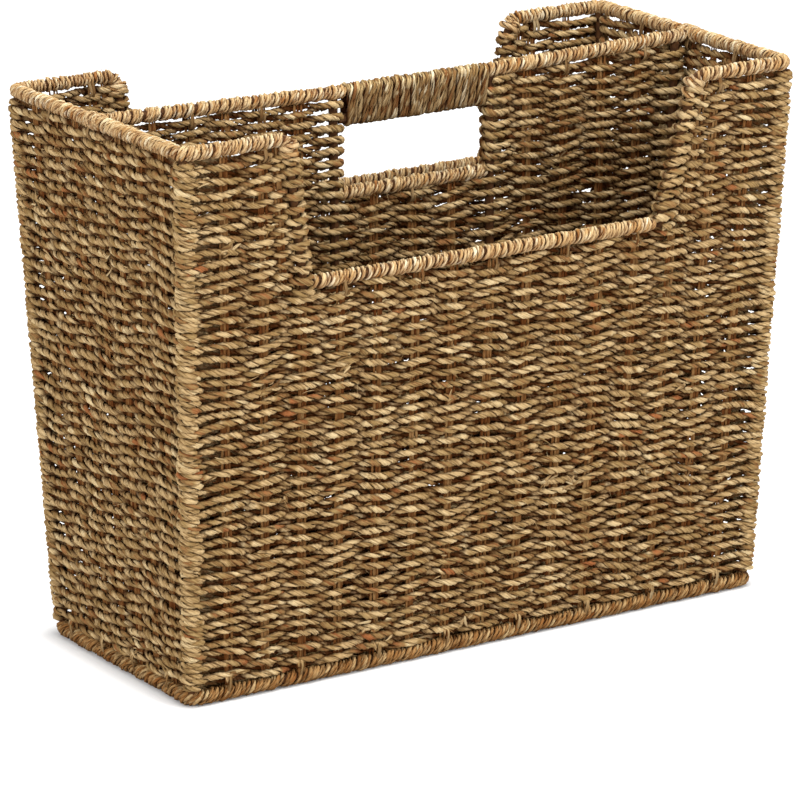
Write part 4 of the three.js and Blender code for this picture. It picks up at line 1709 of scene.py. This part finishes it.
@dataclass
class LooseEnds:
    """Blade ends, splices and fine fibres that stand out from the weave.

    Attributes:
        walls: The walls.
        divider: The divider.
        rims: The rims.
        blade_dress: The finish of the blades.
        fibre_dress: The finish of the fibres.
        surface: From the middle of a wall to the crowns of its cords.
        depth: How deep under the crowns a blade end starts.
        tip_share: The size of a blade's tip, as a share of its root's.
        blade_count: How many loose blade ends there are.
        fibre_count: How many fine fibres stand out of the weave.
        rim_fibre_count: How many stand out of the rims.
        splices: Where cords were joined on the front, along it and up, as the photograph shows them.
        other_splices: How many more there are elsewhere.
        splice_blades: How many blade ends a splice shows.
        seed: The seed of its chance.
    """

    walls: WallWeave
    divider: DividerWeave
    rims: Rims
    blade_dress: Dress
    fibre_dress: Dress
    surface: float = 4.0
    depth: float = 0.8
    tip_share: float = 0.3
    blade_count: int = 420
    fibre_count: int = 420
    rim_fibre_count: int = 220
    splices: tuple[tuple[float, float], ...] = (
        (-147.5, 272.5), (-172.5, 262.5), (-93.8, 185.0), (-135.0, 115.0), (-77.5, 25.0), (-26.3, 153.8),
        (60.0, 88.8), (42.0, 92.0))
    other_splices: int = 22
    splice_blades: int = 6
    seed: int = 83

    STEP = 1.6
    MARGIN = 12.0

    def spot(self, rng: np.random.Generator) -> tuple[Array, Array, Array]:
        """A chance spot on the crowns of the walls or of the divider.

        Args:
            rng: The source of chance.

        Returns:
            The spot, the way out there, and the way along the rows.
        """
        sizes = self.walls.sizes
        while True:
            number = rng.integers(8)
            height = rng.uniform(self.MARGIN, sizes.rim_height - self.MARGIN)
            side = 1 if number < 6 or rng.random() < 0.5 else -1
            if number < 6:
                wall = (0, 0, 2, 2, 1, 3)[number]
                panel = self.walls.panels[wall]
                half = float((sizes.half_length, sizes.half_depth)[wall % 2](height))
            else:
                panel, half = self.divider.panel, float(sizes.divider_post(height))
            along = rng.uniform(self.MARGIN - half, half - self.MARGIN)
            end = End.RIGHT if along * panel.travel[0] > 0 else End.LEFT
            cut = number < 4 and height > sizes.low_rim_height - self.MARGIN
            hole = number >= 6 and height > sizes.sill_height - self.MARGIN
            if cut and abs(along) < float(sizes.leg(end, height)) + self.MARGIN / 2:
                continue
            if hole and sizes.uprights[0] - self.MARGIN < along < sizes.uprights[1] + self.MARGIN:
                continue
            return panel.at(along, side * self.surface, height), side * panel.out, panel.travel

    def blade(self, mesh: StrandMesh, start: Array, heading: Array, out: Array, strand: Strand, length: float,
              lift: float, rng: np.random.Generator) -> None:
        """Adds one blade end that curls away from the weave.

        Args:
            mesh: The piece that it belongs to.
            start: Where it leaves the weave.
            heading: The way that it points.
            out: The way out of the weave.
            strand: Its section.
            length: Its length.
            lift: How far its tip stands out.
            rng: The source of chance.
        """
        share = np.linspace(0, 1, 5)[:, None]
        curl = rng.uniform(-0.35, 0.35) * length
        sideways = unit(np.cross(out, heading))
        points = start + length * share * heading + lift * share**2 * out + curl * share**2 * sideways
        facing = unit(out + rng.uniform(-0.5, 0.5) * sideways)
        line = Line.through(points - self.depth * out, np.tile(facing, (len(points), 1)), self.STEP)
        line.swell = np.linspace(1.0, self.tip_share, len(line.points))
        # Painted shade: each blade is darkened by a chance exposure from 0.45 to 0.9.
        mesh.add(strand.tubes(line, rng), partial(shade_evenly, exposure=rng.uniform(0.45, 0.9)))

    def build(self) -> None:
        """Makes the loose blade ends, the splices and the fibres."""
        rng = np.random.default_rng(self.seed)
        mesh = StrandMesh("loose_blades")
        for _ in range(self.blade_count):
            start, out, travel = self.spot(rng)
            angle = rng.normal(0.0, 0.35) + math.pi * rng.integers(2)
            heading = math.cos(angle) * travel + math.sin(angle) * UP
            strand = Strand(rng.uniform(0.8, 2.0), rng.uniform(0.3, 0.6))
            self.blade(mesh, start, heading, out, strand, rng.uniform(3, 10), rng.uniform(-0.2, 0.8), rng)
        self.blade_dress.put_on(mesh)
        mesh = StrandMesh("splices")
        front = self.walls.panels[0]
        spots = [(front.at(x, self.surface, z), front.out, front.travel) for x, z in self.splices]
        spots += [self.spot(rng) for _ in range(self.other_splices)]
        for start, out, travel in spots:
            for _ in range(self.splice_blades):
                angle = rng.normal(0.3, 0.7) + math.pi * rng.integers(2)
                heading = math.cos(angle) * travel + math.sin(angle) * UP
                scatter = rng.uniform(-2.5, 2.5) * travel + rng.uniform(-2.0, 2.0) * UP
                strand = Strand(rng.uniform(1.4, 2.9), rng.uniform(0.9, 1.6))
                self.blade(mesh, start + scatter, heading, out, strand, rng.uniform(3, 7),
                           rng.uniform(-0.2, 0.9), rng)
        self.blade_dress.put_on(mesh)
        mesh = StrandMesh("fibres")
        fibre = Strand(0.3, 0.25)
        for _ in range(self.fibre_count):
            start, out, travel = self.spot(rng)
            self.blade(mesh, start, unit(rng.normal(0, 1, 3) + 0.4 * out), out, fibre,
                       rng.uniform(3, 10), rng.uniform(0.5, 4), rng)
        cores = list(self.rims.cores().values())
        for _ in range(self.rim_fibre_count):
            core = cores[rng.integers(len(cores))]
            place = rng.integers(4, len(core) - 4)
            out = unit(np.cross(core[place + 1] - core[place - 1], rng.normal(0, 1, 3)))
            start = core[place] + self.rims.rim.outside * out
            self.blade(mesh, start, unit(out + rng.normal(0, 0.8, 3)), out, fibre, rng.uniform(2, 7), 0.5, rng)
        self.fibre_dress.put_on(mesh)


# The finishes


def linear(colour: str) -> tuple[float, float, float, float]:
    """Turns an sRGB colour written as #rrggbb to the linear one that a shader takes, with an alpha of 1."""
    shares = [int(colour[place:place + 2], 16) / 255 for place in (1, 3, 5)]
    return (*(s / 12.92 if s <= 0.04045 else ((s + 0.055) / 1.055) ** 2.4 for s in shares), 1.0)


def new_tree(holder: bpy.types.Material | bpy.types.World) -> bpy.types.NodeTree:
    """Gives a material or a world an empty node tree."""
    holder.use_nodes = True
    holder.node_tree.nodes.clear()
    return holder.node_tree


def add_node(tree: bpy.types.NodeTree, kind: str, inputs: Optional[dict] = None,
             **settings: object) -> bpy.types.Node:
    """Adds a node with its settings and links.

    Args:
        tree: The node tree.
        kind: The node's type.
        inputs: For each input, by name or number, a socket to link or a plain value.
        **settings: The node's own settings. A colour ramp's stops are pairs of a place and a colour.

    Returns:
        The node.
    """
    node = tree.nodes.new(kind)
    for place, (position, colour) in enumerate(settings.pop("stops", ())):
        elements = node.color_ramp.elements
        element = elements[place] if place < len(elements) else elements.new(position)
        element.position, element.color = position, linear(colour)
    for name, value in settings.items():
        setattr(node, name, value)
    for key, value in (inputs or {}).items():
        if isinstance(value, bpy.types.NodeSocket):
            tree.links.new(value, node.inputs[key])
        else:
            node.inputs[key].default_value = value
    return node


@dataclass(frozen=True)
class DriedSeagrass:
    """Blades of seagrass, dried in the sun and left bare.

    The eye sees a dull straw skin with fine lines along each blade, and a few rusty and olive blades among
    the tan ones. The brown of the hollows and of the creases between blades is painted shade.

    Attributes:
        name: The material's name.
        stops: The colours of the blades from rusty to the palest straw.
        hollow: The colour of the painted shade in the hollows and in the creases between blades.
        painted_shade_share: How much of the painted shade's colour shows at its deepest.
        fibre: The width of the fine lines along a blade, drawn coarser than the real ones so that they show.
        fibre_length: The length of these lines.
        blotch: The length of a blotch on a blade.
        line_contrast: How much the fine lines change the tint.
        blotch_contrast: How much the blotches change the tint.
        roughness: The roughness of the skin.
        gloss: The strength of its reflections.
        relief: The height of the fine lines.
    """

    name: str
    stops: tuple[tuple[float, str], ...]
    hollow: str = "#3f1d05"
    painted_shade_share: float = 1.0
    fibre: float = 0.8
    fibre_length: float = 16.0
    blotch: float = 8.0
    line_contrast: float = 0.65
    blotch_contrast: float = 0.6
    roughness: float = 0.8
    gloss: float = 0.04
    relief: float = 0.3

    # Painted shade in the creases between blades: where the fine lines' noise is low, the colour darkens.
    CREASE = (0.37, 0.49)
    CREASE_DEPTH = 0.45

    def material(self) -> bpy.types.Material:
        """Makes the material.

        Returns:
            The material.
        """
        material = bpy.data.materials.new(self.name)
        tree = new_tree(material)
        grain = add_node(tree, "ShaderNodeAttribute", attribute_name="grain").outputs["Vector"]
        tint = add_node(tree, "ShaderNodeAttribute", attribute_name="tint").outputs["Fac"]
        exposure = add_node(tree, "ShaderNodeAttribute", attribute_name="exposure").outputs["Fac"]
        lines = self._noise(tree, grain, (1 / self.fibre_length, 1 / self.fibre, 1 / self.fibre))
        blotches = self._noise(tree, grain, (1 / self.blotch, 3 / self.blotch, 3 / self.blotch))
        place = tint
        for change, contrast in ((lines, self.line_contrast), (blotches, self.blotch_contrast)):
            place = add_node(tree, "ShaderNodeMath", {0: change, 1: contrast, 2: place},
                             operation="MULTIPLY_ADD").outputs[0]
        middle = (self.line_contrast + self.blotch_contrast) / 2
        place = add_node(tree, "ShaderNodeMath", {0: place, 1: middle}, operation="SUBTRACT").outputs[0]
        blades = add_node(tree, "ShaderNodeValToRGB", {0: place}, stops=self.stops).outputs[0]
        crease = add_node(tree, "ShaderNodeMapRange", {
            "Value": lines, "From Min": self.CREASE[0], "From Max": self.CREASE[1],
            "To Min": 1 - self.CREASE_DEPTH, "To Max": 1.0}).outputs[0]
        # Painted shade: the blades' colour is mixed towards the hollow colour where the exposure is low, and in
        # the creases.
        light = add_node(tree, "ShaderNodeMath", {0: exposure, 1: self.painted_shade_share, 2: 1 - self.painted_shade_share},
                         operation="MULTIPLY_ADD").outputs[0]
        light = add_node(tree, "ShaderNodeMath", {0: light, 1: crease}, operation="MULTIPLY").outputs[0]
        colour = add_node(tree, "ShaderNodeMix", {0: light, 6: linear(self.hollow), 7: blades},
                          data_type="RGBA").outputs[2]
        bump = add_node(tree, "ShaderNodeBump", {"Strength": 0.8, "Distance": self.relief * MM, "Height": lines})
        shader = add_node(tree, "ShaderNodeBsdfPrincipled", {
            "Base Color": colour, "Roughness": self.roughness, "Normal": bump.outputs[0],
            "Specular IOR Level": self.gloss})
        add_node(tree, "ShaderNodeOutputMaterial", {0: shader.outputs[0]})
        return material

    @staticmethod
    def _noise(tree: bpy.types.NodeTree, grain: bpy.types.NodeSocket,
               scale: tuple[float, float, float]) -> bpy.types.NodeSocket:
        """A noise along the grain, with so many lumps to the millimetre along, through and across."""
        scaled = add_node(tree, "ShaderNodeVectorMath", {0: grain, 1: scale}, operation="MULTIPLY")
        return add_node(tree, "ShaderNodeTexNoise", {"Vector": scaled.outputs[0], "Scale": 1.0,
                                                     "Detail": 2.0}).outputs[0]


@dataclass(frozen=True)
class PaintedSteel:
    """Steel wire, bent, welded and dipped in brown paint: a dull dark skin that is a little uneven.

    Attributes:
        name: The material's name.
        stops: The paint's darkest and lightest colours.
        lump: The size of an unevenness.
        roughness: The roughness of the paint.
    """

    name: str = "painted_steel_wire"
    stops: tuple[tuple[float, str], ...] = ((0.35, "#3b220d"), (0.7, "#5a3819"))
    lump: float = 3.0
    roughness: float = 0.8

    def material(self) -> bpy.types.Material:
        """Makes the material.

        Returns:
            The material.
        """
        material = bpy.data.materials.new(self.name)
        tree = new_tree(material)
        place = add_node(tree, "ShaderNodeTexCoord").outputs["Object"]
        noise = add_node(tree, "ShaderNodeTexNoise", {"Vector": place, "Scale": 1 / (self.lump * MM)}).outputs[0]
        paint = add_node(tree, "ShaderNodeValToRGB", {0: noise}, stops=self.stops)
        bump = add_node(tree, "ShaderNodeBump", {"Strength": 0.3, "Distance": 0.1 * MM, "Height": noise})
        shader = add_node(tree, "ShaderNodeBsdfPrincipled", {
            "Base Color": paint.outputs[0], "Roughness": self.roughness, "Normal": bump.outputs[0],
            "Specular IOR Level": 0.2})
        add_node(tree, "ShaderNodeOutputMaterial", {0: shader.outputs[0]})
        return material


# Twisted cord: tan and olive blades, now and then a rusty or a straw one
WEAVE_FINISH = DriedSeagrass("seagrass_twisted_cord", (
    (0.0, "#9a5f38"), (0.2, "#8d6a42"), (0.36, "#91764b"), (0.54, "#a98b60"), (0.72, "#bb9e71"),
    (1.0, "#ceb78c")))
# Stakes: browner strands, darkened as painted shade, for they are seen only down in the hollows
STAKE_FINISH = DriedSeagrass("seagrass_stake_strands", (
    (0.0, "#5f3014"), (0.3, "#744623"), (0.6, "#8c6238"), (1.0, "#b08a5a")))
# Rims: the palest outer blades, pulled tight so that their skin shines a little; their orange-brown hollow colour
# is the painted shade of their undersides and of the gaps between turns
RIM_FINISH = DriedSeagrass("seagrass_rim_winding", (
    (0.0, "#a26d3a"), (0.2, "#b38850"), (0.42, "#c6a574"), (0.7, "#d8be8f"), (1.0, "#ecdfbd")),
    hollow="#74431c", roughness=0.6, gloss=0.12, line_contrast=0.5, blotch_contrast=0.45)
# Base winding: broad blades of the weave's own brown
BASE_FINISH = DriedSeagrass("seagrass_base_winding", (
    (0.0, "#8e592d"), (0.3, "#9a6e3f"), (0.6, "#ac8656"), (1.0, "#c8ac7d")))
# Grip: olive and brown strands, smoothed by hands; their darker browns are painted shade of the grip's front
GRIP_FINISH = DriedSeagrass("seagrass_grip_winding", (
    (0.0, "#85532b"), (0.25, "#8c693d"), (0.5, "#a58757"), (0.75, "#c6ab7b"), (1.0, "#ead9b3")),
    roughness=0.6, gloss=0.1)


# The studio


@dataclass(frozen=True)
class Lamp:
    """A soft rectangular lamp that faces the basket.

    Attributes:
        name: Its name.
        place: Where it hangs, in metres.
        size: Its width and height, in metres.
        power: Its power, in watts.
    """

    name: str
    place: tuple[float, float, float]
    size: tuple[float, float]
    power: float

    TARGET = (0.0, 0.0, 0.15)

    def build(self) -> None:
        """Hangs the lamp."""
        data = bpy.data.lights.new(self.name, "AREA")
        data.shape = "RECTANGLE"
        data.size, data.size_y = self.size
        data.energy = self.power
        made = bpy.data.objects.new(self.name, data)
        made.location = self.place
        aim = Vector(self.TARGET) - Vector(self.place)
        made.rotation_euler = aim.to_track_quat("-Z", "Y").to_euler()
        bpy.context.scene.collection.objects.link(made)


@dataclass(frozen=True)
class Studio:
    """The floor, the light and the camera of the photograph.

    Attributes:
        azimuth: How far the camera stands round from the front, in degrees.
        elevation: How far it looks down, in degrees.
        roll: How far it is tilted about its own axis, in degrees.
        distance: From the camera to its target.
        target: What it looks at.
        focal_pixels: Its focal length in pixels of the photograph.
        photo_width: The photograph's width in pixels.
        lamps: The lamps.
        sky: The strength of the world as a light.
        floor_reach: How far the floor runs out, in metres.
        footprint: Half the basket's length and depth on the floor, in metres.
        glow: How much the floor glows beside the basket, where it is dimmed as a painted shadow, and further out.
        painted_shadow_reach: How far out from the basket the painted shadow fades into the floor's full glow, in
            metres.
    """

    azimuth: float = -32.61
    elevation: float = 16.45
    roll: float = -0.39
    distance: float = 2776.96
    target: tuple[float, float, float] = (-52.86, -75.87, 154.75)
    focal_pixels: float = 4980.21
    photo_width: int = 800
    lamps: tuple[Lamp, ...] = (
        Lamp("top_lamp", (0.2, -0.5, 2.3), (1.6, 1.4), 41.0),
        Lamp("front_lamp", (1.0, -1.9, 1.3), (1.3, 1.3), 32.0),
        Lamp("side_lamp", (-1.9, -0.8, 1.0), (1.1, 1.2), 28.0),
    )
    sky: float = 0.55
    floor_reach: float = 8.0
    footprint: tuple[float, float] = (0.19, 0.0745)
    glow: tuple[float, float] = (0.05, 0.52)
    painted_shadow_reach: float = 0.018

    def build(self) -> None:
        """Makes the camera, the floor, the lamps and the world."""
        self.camera()
        self.floor()
        for lamp in self.lamps:
            lamp.build()
        self.world()

    def camera(self) -> None:
        """Makes the camera, at the photograph's viewing angle."""
        azimuth, elevation, roll = (math.radians(v) for v in (self.azimuth, self.elevation, self.roll))
        back = np.array([math.sin(azimuth) * math.cos(elevation),
                         -math.cos(azimuth) * math.cos(elevation), math.sin(elevation)])
        level = unit(np.cross(-back, UP))
        steep = np.cross(level, -back)
        right = math.cos(roll) * level + math.sin(roll) * steep
        up = math.cos(roll) * steep - math.sin(roll) * level
        data = bpy.data.cameras.new("camera")
        data.lens = self.focal_pixels * data.sensor_width / self.photo_width
        made = bpy.data.objects.new("camera", data)
        bpy.context.scene.collection.objects.link(made)
        turn = Matrix([[right[i], up[i], back[i]] for i in range(3)]).to_4x4()
        place = (np.array(self.target) + back * self.distance) * MM
        made.matrix_world = Matrix.Translation(Vector(place)) @ turn
        bpy.context.scene.camera = made

    @staticmethod
    def looks(tree: bpy.types.NodeTree) -> bpy.types.NodeSocket:
        """1 for the rays that show what the camera sees, straight, mirrored or through glass, and 0 for light."""
        rays = add_node(tree, "ShaderNodeLightPath").outputs
        seen = rays["Is Camera Ray"]
        for other in ("Is Glossy Ray", "Is Transmission Ray"):
            seen = add_node(tree, "ShaderNodeMath", {0: seen, 1: rays[other]}, operation="MAXIMUM").outputs[0]
        return seen

    def floor(self) -> None:
        """Makes the white floor, which keeps the basket's shadow and has a painted shadow where its glow fades
        beside the basket.
        """
        reach = self.floor_reach
        mesh = bpy.data.meshes.new("floor")
        corners = [(-reach, -reach, 0), (reach, -reach, 0), (reach, reach, 0), (-reach, reach, 0)]
        mesh.from_pydata(corners, [], [(0, 1, 2, 3)])
        made = bpy.data.objects.new("floor", mesh)
        bpy.context.scene.collection.objects.link(made)
        material = bpy.data.materials.new("white_paper_floor")
        tree = new_tree(material)
        paper = add_node(tree, "ShaderNodeBsdfDiffuse", {"Color": linear("#e2e2e2")})
        # Painted shadow: the floor's glow is weakest at the basket's footprint and grows over a short reach.
        place = add_node(tree, "ShaderNodeTexCoord").outputs["Object"]
        for operation, value in (("ABSOLUTE", (0, 0, 0)), ("SUBTRACT", (*self.footprint, 0)),
                                 ("MAXIMUM", (0, 0, 0))):
            place = add_node(tree, "ShaderNodeVectorMath", {0: place, 1: value}, operation=operation).outputs[0]
        away = add_node(tree, "ShaderNodeVectorMath", {0: place}, operation="LENGTH")
        glow = add_node(tree, "ShaderNodeMapRange", {
            "Value": away.outputs["Value"], "From Max": self.painted_shadow_reach, "To Min": self.glow[0],
            "To Max": self.glow[1]}, interpolation_type="SMOOTHSTEP")
        glow = add_node(tree, "ShaderNodeMath", {0: self.looks(tree), 1: glow.outputs[0]}, operation="MULTIPLY")
        light = add_node(tree, "ShaderNodeEmission", {"Strength": glow.outputs[0]})
        both = add_node(tree, "ShaderNodeAddShader", {0: paper.outputs[0], 1: light.outputs[0]})
        add_node(tree, "ShaderNodeOutputMaterial", {0: both.outputs[0]})
        mesh.materials.append(material)

    def world(self) -> None:
        """Makes the world white to look at, and dimmer as a light."""
        made = bpy.data.worlds.new("studio_world")
        bpy.context.scene.world = made
        tree = new_tree(made)
        light, white = (add_node(tree, "ShaderNodeBackground", {"Color": (1, 1, 1, 1), "Strength": strength})
                        for strength in (self.sky, 1.0))
        mixed = add_node(tree, "ShaderNodeMixShader", {
            0: self.looks(tree), 1: light.outputs[0], 2: white.outputs[0]})
        add_node(tree, "ShaderNodeOutputWorld", {0: mixed.outputs[0]})


# The whole basket


def dress_wires(material: bpy.types.Material) -> None:
    """Gives every packed wire its paint.

    Args:
        material: The paint.
    """
    for name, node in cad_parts.items():
        if any(word in name for word in ("wire", "post", "upright")):
            node.data.materials.clear()
            node.data.materials.append(material)
            log.info("%s: painted", name)


def main() -> None:
    """Builds the basket's parts in order, dresses them and reports each one."""
    logging.basicConfig(level=logging.INFO, format="%(message)s")
    bpy.context.scene.view_settings.view_transform = "Standard"
    sizes = BasketSizes.from_frame()
    Studio().build()
    dress_wires(PaintedSteel().material())

    weave = Dress(WEAVE_FINISH.material(), Slot.WEAVE)
    stakes = Dress(STAKE_FINISH.material(), Slot.WEAVE)
    rim = Dress(RIM_FINISH.material(), Slot.RIM)
    base = Dress(BASE_FINISH.material(), Slot.BASE)
    grip = Dress(GRIP_FINISH.material(), Slot.GRIP)

    cord = Cord(Strand(3.05, 2.2, unevenness=0.26, wander=8.0), spread=1.1, lay=14.5)
    thin_cord = Cord(Strand(2.95, 2.1, unevenness=0.26, wander=8.0), spread=1.06, lay=13.0)
    stake = Stake(Strand(1.9, 1.2))
    walls = WallWeave(sizes, Weaver(cord), stake, weave, stakes)
    divider = DividerWeave(sizes, Weaver(thin_cord, bulge=0.1), stake, weave, stakes)
    floor = BaseWeave(sizes, Weaver(cord, sway=1.7, step=2.6, bulge=0.0), stake, weave, stakes)
    plain = BladeTints(common=(0.3, 0.8), rusty_share=0.03, pale_share=0.07, stretch=(6.0, 22.0))
    mixed = BladeTints(common=(0.15, 0.8), rusty_share=0.05, pale_share=0.1, stretch=(6.0, 25.0))
    rims = Rims(
        sizes,
        Wrapping(Cord(Strand(1.55, 1.3, 0.3, plain, wander=5.0), spread=0.5, lay=9.0), outside=4.3,
                 pitch=2.15, unevenness=0.58, looseness=0.5, lean=0.8, step=1.3, tip=2.5),
        Wrapping(Cord(Strand(1.9, 1.5, 0.3, wander=5.0), spread=0.55, lay=12.0), outside=4.5, pitch=2.5,
                 looseness=0.4, lean=1.8),
        Wrapping(Cord(Strand(2.6, 2.0, 0.2, plain), spread=0.95, lay=14.0), outside=6.6, pitch=4.2, lean=1.0),
        rim, base)
    grip_cord = Cord(Strand(1.8, 1.3, 0.35, mixed), spread=0.7, lay=18.0)
    layers = (Lashing(grip_cord, (2.7, 2.7), (-1.5, 2.5), cover=0.9),
              Lashing(grip_cord, (3.3, 3.3), (0.0, 5.0), looseness=0.5))
    handle = Grip(sizes, layers, grip)
    loose = LooseEnds(walls, divider, rims, weave, weave)
    for part in (walls, divider, floor, rims, Ties(walls, divider, weave), handle, loose):
        part.build()


if __name__ == "__main__":
    main()
